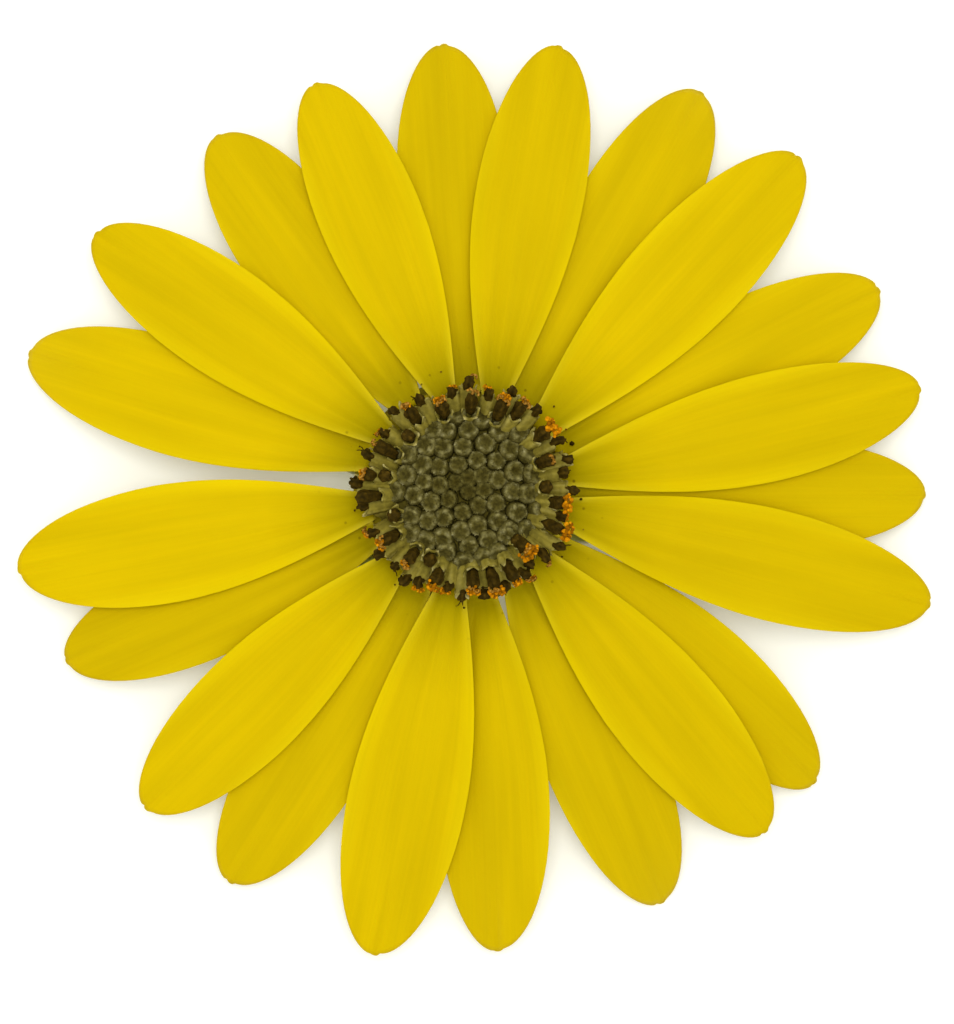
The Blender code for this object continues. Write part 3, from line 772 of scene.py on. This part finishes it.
def petal_point(petal, side, along, seed):
    """Point of a petal's middle surface; side is -1 to 1 across it, along is 0 to 1."""
    tip_heading, reach, root_heading, breadth, bow, curl, low_edge, high_edge, _ = petal
    reach = reach * MM
    across = math.copysign(math.sin(0.5 * math.pi * abs(side) ** 1.5), side)
    root_radius = UPPER_ROOT_RADIUS if low_edge == 1 else CLAW_RADIUS
    start = (root_radius - ROOT_CIRCLE) / (reach - ROOT_CIRCLE)
    notch = NOTCH_DEPTH * max(0.0, 1.0 - abs(abs(across) - NOTCH_ACROSS) / NOTCH_HALF)
    notch *= 0.6 + 0.4 * math.sin(seed * 3.0 + 2.0 * math.copysign(1.0, across))
    low_side = math.copysign(1.0, math.sin(seed * 5.0))
    past_notch = low_side * (across - low_side * NOTCH_ACROSS)
    notch += TIP_STEP * smooth_step(0.5 + past_notch / NOTCH_HALF)
    share = start + along * (petal_end(across) - notch / reach - start)
    root = polar(ROOT_CIRCLE, root_heading)
    midline = polar(reach, tip_heading) - root
    sideways = Vector((-midline.y, midline.x, 0.0)).normalized()
    offset = bow * MM * 4.0 * share * (1.0 - share)
    offset += across * 0.5 * breadth * MM * petal_outline(share)
    point = root + midline * share + sideways * offset
    radius = point.length
    level = low_edge + (high_edge - low_edge) * smooth_step(across + 0.5)
    if low_edge != high_edge:
        level *= smooth_step((radius - LOWER_ROOT_RADIUS) / SLANT_LENGTH)
    curl_share = max(0.0, (radius - CURL_START) / (CROWN_RADIUS - CURL_START))
    claw = 0.0 if low_edge == 1 else 1.0 - smooth_step((radius - CLAW_RADIUS) / CLAW_LENGTH)
    point.z = crown_height(radius) + level * LEVEL_STEP + claw * CLAW_LIFT
    point.z += curl * MM * curl_share ** 2 - RAY_ARCH * across * across
    point.z += petal_relief(across, share, seed)
    return point, across, share


def make_petal(number, petal, materials):
    """One petal: a fine ridged blade, thin at its edges, with a toothed tip."""
    shape = bmesh.new()
    uv_layer = shape.loops.layers.uv.new("petal")
    from_middle = shape.verts.layers.float.new("from_middle")
    along_layer = shape.verts.layers.float.new("along")
    painted_light_shade_layer = shape.verts.layers.float.new("painted_light_shade")
    blade = shape.verts.layers.deform.verify()
    bmesh.ops.create_grid(shape, x_segments=PETAL_COLUMNS, y_segments=PETAL_ROWS, size=1.0)
    seed = 3.7 * number
    # The last column is the petal's painted light and shade, carried to its material
    reach, breadth, painted_light_shade = petal[1], petal[3], petal[8]
    for vertex in shape.verts:
        side = -vertex.co.x
        point, across, share = petal_point(petal, side, 0.5 * (vertex.co.y + 1.0), seed)
        for loop in vertex.link_loops:
            loop[uv_layer].uv = (across * 0.5 * breadth + MAP_STEP * number, share * reach)
        vertex.co = point
        vertex[from_middle] = abs(across)
        vertex[along_layer] = share
        vertex[painted_light_shade_layer] = painted_light_shade
        vertex[blade][0] = 1.0 - across ** 4
    face_outwards(shape)
    if sum(face.normal.z for face in shape.faces) < 0.0:
        bmesh.ops.reverse_faces(shape, faces=shape.faces[:])
    piece = finish_piece(f"petal_{number:02d}", shape, materials, "ray_petal", f"ray_{number:02d}")
    piece.vertex_groups.new(name="blade")
    solid = give_thickness(piece, PETAL_THICKNESS)
    solid.vertex_group = "blade"
    solid.thickness_vertex_group = PETAL_EDGE_SHARE
    solid.material_offset = 1
    return piece


# Closed florets


def bed_height(radius):
    """Height of the domed bed of buds at a distance from the axis."""
    share = min(radius / BED_RADIUS, 1.0)
    return BED_MIDDLE_Z + (BED_EDGE_Z - BED_MIDDLE_Z) * math.sin(share * math.pi * 0.6)


def add_papilla(part, tone, foot, outward, shade):
    """One tiny blunt hair of the felt on a bud."""
    points = bmesh.ops.create_icosphere(part, subdivisions=1, radius=PAPILLA_RADIUS)["verts"]
    turn_matrix = outward.to_track_quat("Z", "Y").to_matrix()
    for point in points:
        point.co.z *= PAPILLA_STRETCH
        point.co = foot + turn_matrix @ point.co
        point[tone] = shade


def add_bud(shape, right, up, dice, shrink=1.0):
    """One closed floret: a felted knob of five lobes that meet in a pit."""
    spot = Vector((right, up, 0.0))
    outness = min(spot.length / BUD_EDGE_RADIUS, 1.0)
    size = BUD_MIDDLE_SIZE + (BUD_EDGE_SIZE - BUD_MIDDLE_SIZE) * outness ** 1.5
    size *= shrink * dice.uniform(0.95, 1.05)
    phase = dice.uniform(0.0, math.tau)
    lean = spot / BUD_EDGE_RADIUS * BUD_LEAN + UP
    turn_matrix = lean.to_track_quat("Z", "Y").to_matrix()
    middle = Vector((right, up, bed_height(spot.length) + BUD_SINK))
    # Painted shade: buds towards the middle of the sunken disc are darkened
    painted_centre_shade = CENTRE_PAINTED_SHADE + (1.0 - CENTRE_PAINTED_SHADE) * smooth_step(outness / CENTRE_SHARE)

    def place(turn, along):
        polar_angle = math.pi * along
        ring = math.sin(polar_angle)
        rise = -math.cos(polar_angle)
        lobe = 0.5 + 0.5 * math.cos(BUD_LOBES * turn + phase)
        crown = smooth_step((rise + 0.2) / 0.8)
        grain = Vector((ring * math.cos(turn), ring * math.sin(turn), rise)) * BUD_GRAIN
        rough = BUD_ROUGH * noise.noise(grain + Vector((7.0 * right / MM, 7.0 * up / MM, 0.0)))
        pit = BUD_PIT * bell(ring, 0.0, 0.4) * crown
        groove = BUD_GROOVE * (1.0 - lobe) ** 2 * crown * bell(ring, 0.55, 0.4)
        reach = ring ** 0.65 * (1.0 + BUD_LOBE_SWELL * (lobe - 0.5) * crown + rough)
        height = BUD_HALF_HEIGHT * math.copysign(abs(rise) ** 0.85, rise)
        point = Vector((
            size * reach * math.cos(turn),
            size * reach * math.sin(turn),
            height - size * (pit + groove - rough),
        ))
        mottle = noise.noise(grain * BUD_MOTTLE_GRAIN + Vector((up / MM, 9.0, right / MM)))
        # Pale lobes: partly the felt's own paler colour and partly a painted highlight on the
        # lobes' tops
        pale_felt_and_highlight = bell(ring, 0.62, 0.27) * (0.42 + 0.58 * lobe) * crown * (1.0 + 0.6 * mottle)
        # Painted shade on each bud's lower sides, down in the gaps between buds
        painted_side_shade = 0.25 + 0.75 * smooth_step((rise + 0.25) / 0.7)
        hollow = 0.1 * bell(ring, 0.0, 0.35) * crown
        # The rough term also paints bumps lighter and dents darker, as painted shade
        shade = BUD_FIRST_TONE - hollow + 0.5 * pale_felt_and_highlight + 0.8 * rough + 0.16 * mottle
        return middle + turn_matrix @ point, shade * painted_side_shade * painted_centre_shade

    add_rolled_grid(shape, BUD_TURNS, BUD_RINGS, place)
    felt, tone = toned_shape()
    for _ in range(PAPILLAE_PER_BUD):
        foot, shade = place(dice.uniform(0.0, math.tau), dice.uniform(0.56, 0.9))
        add_papilla(felt, tone, foot, foot - middle, shade * dice.uniform(0.75, 1.35))
    add_part(shape, felt)


def bud_spots():
    """Places of the buds that the photo shows, as (right, up) from the axis."""
    return [
        ((across - READING_MIDDLE) * READING_STEP, (READING_MIDDLE - down) * READING_STEP)
        for across, down in BUD_READINGS
    ]


def filler_spots(spots):
    """Places between the buds that are wide enough for one more, smaller one."""
    taken = list(spots)
    fillers = []
    count = int(FILLER_REACH / FILLER_STEP)
    for row in range(-count, count + 1):
        for column in range(-count, count + 1):
            spot = (column * FILLER_STEP, row * FILLER_STEP)
            free = all(math.dist(spot, other) > FILLER_GAP for other in taken)
            if free and math.hypot(*spot) < FILLER_REACH:
                taken.append(spot)
                fillers.append(spot)
    return fillers


def make_buds(material):
    """All closed florets, where the photo shows them, and small ones in the gaps."""
    dice = random.Random(57)
    shape, _ = toned_shape()
    spots = bud_spots()
    for right, up in spots:
        add_bud(shape, right, up, dice)
    for right, up in filler_spots(spots):
        add_bud(shape, right, up, dice, FILLER_SHRINK)
    face_outwards(shape)
    finish_piece("buds", shape, [material], "closed_florets", "disc_buds")


def make_turned(profile, steps):
    """Closed shape turned round the Z axis from (radius, height) points."""
    shape, tone = toned_shape()
    points = [shape.verts.new((radius, 0.0, height)) for radius, height in profile]
    edges = [shape.edges.new(pair) for pair in zip(points, points[1:])]
    bmesh.ops.spin(
        shape, geom=points + edges, cent=(0.0, 0.0, 0.0), axis=(0.0, 0.0, 1.0),
        angle=math.tau, steps=steps, use_merge=True,
    )
    weld(shape)
    face_outwards(shape)
    return shape, tone


def make_bed(material):
    """Domed bed that the buds and florets stand on."""
    rings = [0.25 * step * BED_RADIUS for step in range(5)]
    profile = [(radius, bed_height(radius)) for radius in rings]
    profile += [
        (BED_OUTER_RADIUS - 0.3 * MM, BED_EDGE_Z - 0.15 * MM),
        (BED_OUTER_RADIUS, BED_EDGE_Z - 0.5 * MM),
        (BED_OUTER_RADIUS + 0.1 * MM, BED_EDGE_Z - 1.0 * MM),
        (BED_OUTER_RADIUS - 0.1 * MM, BED_SEAT_Z),
        (0.0, BED_SEAT_Z),
    ]
    shape, tone = make_turned(profile, BED_RIBS * BED_RIB_STEPS)
    for vertex in shape.verts:
        radius = vertex.co.xy.length
        if radius > BED_OUTER_RADIUS - 0.4 * MM:
            heading = math.atan2(vertex.co.y, vertex.co.x)
            rib = 1.0 - BED_RIB_DEPTH * abs(math.sin(0.5 * BED_RIBS * heading))
            vertex.co.x *= rib
            vertex.co.y *= rib
            # Painted shade: the ribs' tone is darker in their grooves
            vertex[tone] = 0.5 - 7.0 * (1.0 - rib)
        else:
            # Painted shade: the bed between and under the buds is dark, lighter towards its rim
            vertex[tone] = 0.12 + 0.3 * smooth_step((radius - BED_RADIUS) / MM)
    finish_piece("floret_bed", shape, [material], "closed_florets", "disc_buds")


# Open florets


def floret_side(heading):
    """Level direction square to a floret's own upright plane."""
    turn = math.radians(heading)
    return Vector((-math.sin(turn), math.cos(turn), 0.0))


def add_corolla(shape, heading, foot, knee, mouth, dice):
    """Streaked funnel of one open floret, with five uneven pointed lobes at its mouth."""
    side = floret_side(heading)
    bend = [polar(radius, heading, height) for radius, height in (foot, knee, mouth)]
    upward = (bend[2] - bend[1]).normalized()
    phase = dice.uniform(0.0, math.tau)
    flare = LOBE_FLARE * dice.uniform(0.4, 1.5)
    lobe_length = LOBE_LENGTH * dice.uniform(0.6, 1.2)
    seed = dice.uniform(0.0, 50.0)

    def place(turn, along):
        body = min(along / LOBE_START, 1.0)
        lobe_share = max(0.0, (along - LOBE_START) / (1.0 - LOBE_START))
        wave = 0.5 + 0.5 * math.cos(LOBE_COUNT * turn + phase)
        lobe = wave ** (1.0 + lobe_share) * (0.65 + 0.35 * math.sin(turn + seed))
        right, up = math.cos(turn), math.sin(turn)
        round_place = Vector((right, up, 2.0 * along + seed))
        streak = noise.noise(Vector((2.6 * right, 2.6 * up, 0.8 * along + seed)))
        radius = COROLLA_FOOT + (MOUTH_RADIUS - COROLLA_FOOT) * smooth_step(body)
        radius *= 1.0 + 0.28 * noise.noise(round_place) + 0.12 * streak + 0.1 * (wave - 0.5) * body
        radius += flare * lobe_share ** 1.5 * (0.2 + 0.8 * lobe)
        point = tube_point(bend, body, side, turn, radius)
        point += upward * lobe_length * lobe * (lobe_share - 0.35 * lobe_share ** 3)
        # Partly painted shade: each tube is darker towards its foot among the florets and lighter
        # towards its mouth; streaks and lobes are its own colour
        shade = 0.36 + 0.12 * body + 0.22 * streak + 0.1 * (wave - 0.5) + 0.45 * lobe_share * lobe
        return point, shade

    add_rolled_grid(shape, COROLLA_TURNS, COROLLA_ROWS, place)


def make_corollas(material):
    """Corollas of every open floret."""
    dice = random.Random(21)
    shape, _ = toned_shape()
    for heading, leave, *_ in TALL_FLORETS + SHUT_FLORETS:
        add_corolla(shape, heading, TALL_FOOT, TALL_KNEE, (leave * MM, TALL_MOUTH_Z), dice)
    for heading, leave, *_ in LOW_FLORETS:
        add_corolla(shape, heading, LOW_FOOT, LOW_KNEE, (leave * MM, LOW_MOUTH_Z), dice)
    piece = finish_piece("corollas", shape, [material], "open_florets", "open_florets")
    give_thickness(piece, COROLLA_THICKNESS)


def add_horn(shape, bend, side, width, shade):
    """Thin round-ended arm along a bend."""

    def place(turn, along):
        round_end = round_off(min(along, 1.0 - along) / HORN_END)
        return tube_point(bend, along, side, turn, width * round_end), shade

    add_rolled_grid(shape, HORN_TURNS, HORN_ROWS, place)


def add_anther(
    shape, bend, heading, width, warmth, roughness=ANTHER_ROUGH, teeth=ANTHER_TEETH
):
    """One ridged anther tube, closed at both ends and fuller towards its tip."""
    side = floret_side(heading)

    def place(turn, along):
        round_end = round_off(along / ANTHER_FOOT_END) * round_off((1.0 - along) / ANTHER_TIP_END)
        grain = Vector((math.cos(turn), math.sin(turn), 3.0 * along)) * 1.3
        rough = roughness * noise.noise(grain + Vector((heading, 0.0, 0.0)))
        depth = ANTHER_RIDGE + teeth * smooth_step((along - 0.55) / 0.45)
        wave = math.cos(ANTHER_RIDGES * turn + heading)
        ridge = 1.0 + depth * wave + rough
        radius = width * round_end * ridge * (0.8 + 0.2 * smooth_step(along / 0.6))
        mottle = noise.noise(grain * 2.7 + Vector((0.0, heading, 4.0)))
        # Painted shade: darker in the grooves between ridges and in dents, lighter on crests and
        # bumps; the mottle and warmth are the tube's own
        shade = warmth + 0.26 * (0.5 + 0.5 * wave) + 0.5 * rough + 0.25 * mottle
        return tube_point(bend, along, side, turn, radius), shade

    add_rolled_grid(shape, ANTHER_TURNS, ANTHER_ROWS, place)


def add_thread(shape, start, heading, dice):
    """One dark thread that hangs from an anther's tip."""
    length = THREAD_LENGTH * dice.uniform(0.5, 1.1)
    inner = start - polar(THREAD_ROOT, heading)
    knee = start + polar(0.6 * length, heading, 0.1 * MM)
    end_heading = heading + dice.uniform(-THREAD_TWIST, THREAD_TWIST)
    bend = (inner, knee, start + polar(length, end_heading, -THREAD_DROP))
    add_horn(shape, bend, UP, THREAD_RADIUS, THREAD_TONE)


def tall_bend(heading, leave, tip):
    """Guide points of a tall floret's anther tube."""
    tip_z = TALL_TIP_Z + TALL_CLIMB * (tip - leave)
    knee_z = TALL_MOUTH_Z + 0.55 * (tip_z - TALL_MOUTH_Z)
    start = polar(leave, heading, TALL_MOUTH_Z - 0.2 * MM)
    knee = polar(leave + 0.35 * (tip - leave), heading, knee_z)
    return start, knee, polar(tip, heading, tip_z)


def low_bend(heading, leave, tip):
    """Guide points of a low floret's anther tube, which nods outwards and to one side."""
    start = polar(leave - 0.15 * MM, heading, LOW_MOUTH_Z)
    knee = polar(leave + 0.5 * (tip - leave), heading, LOW_TIP_Z + 0.35 * MM)
    nod = LOW_NOD * math.sin(11.0 * heading)
    return start, knee, polar(tip - 0.12 * MM, heading + nod, LOW_TIP_Z - 0.15 * MM)


def open_florets(florets, bend_of):
    """Heading, bend of the anther tube, pollen width and stigma mark of each open floret."""
    return [
        (heading, bend_of(heading, leave * MM, tip * MM), width * MM, shows)
        for heading, leave, tip, width, shows in florets
    ]


def make_anthers(material):
    """Anther tubes of all florets."""
    dice = random.Random(35)
    shape, _ = toned_shape()
    for heading, bend, _, _ in open_florets(TALL_FLORETS, tall_bend):
        add_anther(shape, bend, heading, ANTHER_RADIUS * dice.uniform(*TALL_WIDTHS), TALL_WARMTH)
    for heading, bend, _, _ in open_florets(LOW_FLORETS, low_bend):
        width = ANTHER_RADIUS * dice.uniform(*LOW_WIDTHS)
        add_anther(shape, bend, heading, width, LOW_WARMTH, LOW_ROUGH)
        for _ in range(dice.randint(0, THREADS_PER_FLORET)):
            swing = dice.uniform(-THREAD_SWING, THREAD_SWING)
            add_thread(shape, bend[2], heading + swing, dice)
    for heading, place in SHUT_FLORETS:
        start = polar(place * MM, heading, TALL_MOUTH_Z - 0.3 * MM)
        tip = polar((place + 0.25) * MM, heading, SHUT_TIP_Z)
        bend = (start, 0.5 * (start + tip), tip)
        add_anther(shape, bend, heading, SHUT_WIDTH * ANTHER_RADIUS, SHUT_WARMTH, teeth=0.0)
    face_outwards(shape)
    finish_piece("anther_tubes", shape, [material], "open_florets", "open_florets")


def add_grain(part, tone, heart, radius, shade):
    """One round grain."""
    points = bmesh.ops.create_uvsphere(
        part, u_segments=GRAIN_TURNS, v_segments=GRAIN_RINGS, radius=radius
    )["verts"]
    for point in points:
        point.co += heart
        point[tone] = shade


def add_clump(shape, end, heading, width, dice):
    """Clump of pollen at an anther's tip: two curls of grains round solid hearts, dark as painted
    shade inside the clump.
    """
    part, tone = toned_shape()
    outward = polar(1.0, heading)
    side = floret_side(heading)
    middle = end + outward * 0.2 * width
    curl = CURL_SIZE * width
    # The hearts are dark: painted shade deep inside the clump
    add_grain(part, tone, middle, CLUMP_HEART * width, 0.2)
    for hand in (-1.0, 1.0):
        first_turn = dice.uniform(-1.4, 0.2)
        heart = middle + side * hand * curl
        add_grain(part, tone, heart, CLUMP_HEART * width * dice.uniform(0.7, 1.1), 0.1)
        for step in range(GRAINS_PER_CURL):
            turn = first_turn + CURL_TURN * step / GRAINS_PER_CURL
            spot = heart + outward * 1.25 * curl * math.sin(turn)
            spot -= side * hand * curl * math.cos(turn)
            spot += Vector([dice.gauss(0.0, GRAIN_SCATTER) * width for _ in range(3)])
            add_grain(part, tone, spot, width * dice.uniform(*GRAIN_SIZES), dice.random())
    add_part(shape, part)


def make_pollen(material):
    """Pollen clumps on the tips of the anther tubes."""
    dice = random.Random(11)
    shape, _ = toned_shape()
    for florets, bend_of, lift in (
        (TALL_FLORETS, tall_bend, 0.0), (LOW_FLORETS, low_bend, LOW_POLLEN_LIFT)
    ):
        for heading, bend, width, _ in open_florets(florets, bend_of):
            if width > 0.0:
                add_clump(shape, bend[2] + UP * lift, heading, width, dice)
    finish_piece("pollen_clumps", shape, [material], "open_florets", "open_florets")


def add_stigma_arm(shape, start, heading, hand, size):
    """One arm of a stigma, which curls out, to its side and back."""
    outward = polar(1.0, heading)
    side = floret_side(heading) * hand
    curl = STIGMA_CURL * size

    def place(turn, along):
        angle = STIGMA_TURN * along
        centre = start + outward * curl * math.sin(angle) * 1.5
        centre += side * curl * (1.0 - math.cos(angle))
        centre += UP * STIGMA_CLIMB * math.sin(0.75 * math.pi * along)
        level = outward * math.sin(angle) - side * math.cos(angle)
        round_end = round_off(min(along, 1.0 - along) / STIGMA_END)
        rough = noise.noise(Vector((math.cos(turn), math.sin(turn) + heading, 7.0 * along)))
        radius = STIGMA_RADIUS * round_end * (1.0 + 0.7 * rough)
        point = centre + (level * math.cos(turn) + UP * math.sin(turn)) * radius
        # Painted light and shade: each arm is lighter on its top and on its bumps, darker
        # underneath and in its dents
        return point, 0.35 + 0.35 * math.sin(turn) + 0.9 * rough

    add_rolled_grid(shape, HORN_TURNS, STIGMA_ROWS, place)


def make_stigmas(material):
    """Forked stigmas at the tips of some florets."""
    dice = random.Random(8)
    shape, _ = toned_shape()
    florets = open_florets(TALL_FLORETS, tall_bend) + open_florets(LOW_FLORETS, low_bend)
    for heading, bend, _, shows in florets:
        if shows:
            start = bend[2] - polar(STIGMA_ROOT, heading, STIGMA_ROOT)
            for hand in (-1.0, 1.0):
                swing = heading + dice.uniform(-STIGMA_SWING, STIGMA_SWING)
                add_stigma_arm(shape, start, swing, hand, dice.uniform(*STIGMA_SIZES))
    face_outwards(shape)
    finish_piece("stigmas", shape, [material], "open_florets", "open_florets")


def make_crumbs(petals, material):
    """Dark crumbs that have dropped on the petals, each on the petal under it."""
    dice = random.Random(23)
    shape, _ = toned_shape()
    for heading, radius, size, shade in CRUMBS:
        above = polar(radius * MM, heading, CRUMB_DROP_FROM) + FLOWER_AXIS
        hits = [petal.ray_cast(above, DOWN) for petal in petals]
        rest = max(place.z for found, place, _, _ in hits if found)
        part, part_tone = toned_shape()
        points = bmesh.ops.create_icosphere(part, subdivisions=2, radius=size * MM)["verts"]
        top = rest + 0.5 * PETAL_THICKNESS + 0.2 * size * MM
        for point in points:
            lump = 1.0 + 0.5 * noise.noise(point.co / (size * MM) + Vector((heading, 0.0, 0.0)))
            point.co *= lump
            point.co += polar(radius * MM, heading, top)
            point[part_tone] = shade + dice.uniform(-0.15, 0.15)
        add_part(shape, part)
    finish_piece("crumbs", shape, [material], "open_florets", "open_florets")


# Green tissue


def make_cup(material):
    """Receptacle, involucre cup and the short cut stub in one."""
    shape, tone = make_turned(in_metres(CUP_PROFILE), CUP_TURNS)
    for vertex in shape.verts:
        heading = math.atan2(vertex.co.y, vertex.co.x)
        flute = 0.03 * math.cos(heading * 14.0) * smooth_step(vertex.co.z / (0.5 * MM))
        if vertex.co.z < 2.0 * MM and vertex.co.xy.length > 1.5 * MM:
            vertex.co.x *= 1.0 + flute
            vertex.co.y *= 1.0 + flute
        vertex[tone] = smooth_step(vertex.co.z / (5.0 * MM))
    finish_piece("cup_and_stub", shape, [material], "green_tissue", "involucre_and_stem")


def line_point(stations, share):
    """Radius and height at a share of a line of stations."""
    place = min(max(share, 0.0), 1.0) * (len(stations) - 1)
    index = min(int(place), len(stations) - 2)
    part = place - index
    start, end = stations[index], stations[index + 1]
    return start[0] + (end[0] - start[0]) * part, start[1] + (end[1] - start[1]) * part


def add_bract(shape, heading, stations, width, dice):
    """One pointed bract with a keel and a thin margin."""
    part, tone = toned_shape()
    bmesh.ops.create_grid(part, x_segments=BRACT_COLUMNS, y_segments=BRACT_ROWS, size=1.0)
    turn = Matrix.Rotation(math.radians(heading), 3, "Z")
    sway = dice.uniform(-BRACT_SWAY, BRACT_SWAY) * width
    for point in part.verts:
        side = -point.co.x
        share = 0.5 * (point.co.y + 1.0)
        radius, height = line_point(stations, share)
        taper = math.sqrt(max(0.0, 1.0 - share ** 2.2)) * (1.0 - 0.25 * share)
        keel = BRACT_KEEL * abs(side) * taper
        spot = Vector((radius, side * 0.5 * width * taper + sway * share * share, height + keel))
        margin = smooth_step((abs(side) - MARGIN_START) / (1.0 - MARGIN_START))
        tip = smooth_step((share - PALE_TIP_START) / (1.0 - PALE_TIP_START))
        point[tone] = margin * MARGIN_TONE + PALE_TIP_TONE * tip
        point.co = turn @ spot
    weld(part)
    add_part(shape, part)


def make_bracts(material):
    """Two rows of bracts on the cup."""
    dice = random.Random(15)
    shape, _ = toned_shape()
    inner_line, outer_line = in_metres(INNER_BRACT_LINE), in_metres(OUTER_BRACT_LINE)
    for heading in INNER_BRACT_HEADINGS:
        add_bract(shape, heading, inner_line, INNER_BRACT_WIDTH, dice)
    for index in range(OUTER_BRACT_COUNT):
        heading = OUTER_BRACT_FIRST_HEADING + index * 360.0 / OUTER_BRACT_COUNT
        add_bract(shape, heading, outer_line, OUTER_BRACT_WIDTH, dice)
    piece = finish_piece("bracts", shape, [material], "green_tissue", "involucre_and_stem")
    give_thickness(piece, BRACT_THICKNESS)


def make_hairs(material):
    """Short hairs on the stub and the cup's flank."""
    dice = random.Random(260)
    shape, _ = toned_shape()
    for _ in range(HAIR_COUNT):
        heading = dice.uniform(0.0, 360.0)
        share = dice.random()
        radius = HAIR_FIRST_RADIUS + HAIR_BAND * share ** 1.5
        height = HAIR_FIRST_Z + HAIR_RISE * share
        base = polar(radius, heading, height)
        outward = polar(1.0, heading)
        lean = Vector((dice.uniform(-0.4, 0.4), dice.uniform(-0.4, 0.4), -0.3))
        tilt = (outward + lean).normalized()
        length = HAIR_LENGTH * dice.uniform(0.6, 1.1) * min(1.0, 0.5 + share)
        part, part_tone = toned_shape()
        bmesh.ops.create_cone(
            part, cap_ends=True, segments=4, radius1=HAIR_RADIUS,
            radius2=0.2 * HAIR_RADIUS, depth=length,
        )
        turn = tilt.to_track_quat("Z", "Y").to_matrix()
        for point in part.verts:
            point.co = base + turn @ (point.co + UP * (0.4 * length))
            point.co.z = max(point.co.z, 0.02 * MM)
            point[part_tone] = 0.5
        add_part(shape, part)
    finish_piece("stub_hairs", shape, [material], "green_tissue", "involucre_and_stem")


# Floor, light and camera


def make_floor():
    """Plain pale floor under the flower head."""
    shape = bmesh.new()
    bmesh.ops.create_grid(shape, x_segments=1, y_segments=1, size=FLOOR_SIZE)
    bmesh.ops.translate(shape, verts=shape.verts[:], vec=(0.0, 0.0, -FLOOR_DROP))
    mesh = bpy.data.meshes.new("studio_ground")
    shape.to_mesh(mesh)
    shape.free()
    mesh.materials.append(floor_material())
    add_object("studio_ground", mesh)


def make_light():
    """Even white surroundings and one broad soft lamp almost overhead."""
    world = bpy.data.worlds.new("studio")
    world.use_nodes = True
    background = world.node_tree.nodes["Background"]
    background.inputs["Color"].default_value = WHITE
    background.inputs["Strength"].default_value = SKY_STRENGTH
    bpy.context.scene.world = world
    lamp = bpy.data.lights.new("soft_lamp", "AREA")
    lamp.size = LAMP_SIZE
    lamp.energy = LAMP_POWER
    holder = add_object("soft_lamp", lamp)
    holder.location = LAMP_PLACE
    holder.rotation_euler = LAMP_PLACE.to_track_quat("Z", "Y").to_euler()


def make_camera():
    """Camera that looks straight down, as the photo does."""
    eye = bpy.data.cameras.new("photo_camera")
    eye.sensor_width = CAMERA_SENSOR
    eye.lens = CAMERA_LENS
    holder = add_object("photo_camera", eye)
    holder.location = FLOWER_AXIS + CAMERA_OFFSET + UP * CAMERA_HEIGHT
    bpy.context.scene.camera = holder


def main():
    """Make every piece, the floor, the light and the camera."""
    bpy.context.scene.view_settings.view_transform = "Standard"
    make_camera()
    make_light()
    make_floor()
    petal_materials = [petal_top_material(), petal_under_material()]
    petals = [
        make_petal(number, petal, petal_materials) for number, petal in enumerate(PETALS, start=1)
    ]
    make_cup(cup_material())
    make_bracts(bract_material())
    make_hairs(hair_material())
    make_bed(corolla_material())
    make_buds(bud_material())
    make_corollas(corolla_material())
    make_anthers(anther_material())
    make_pollen(pollen_material())
    make_stigmas(stigma_material())
    make_crumbs(petals, anther_material())


main()
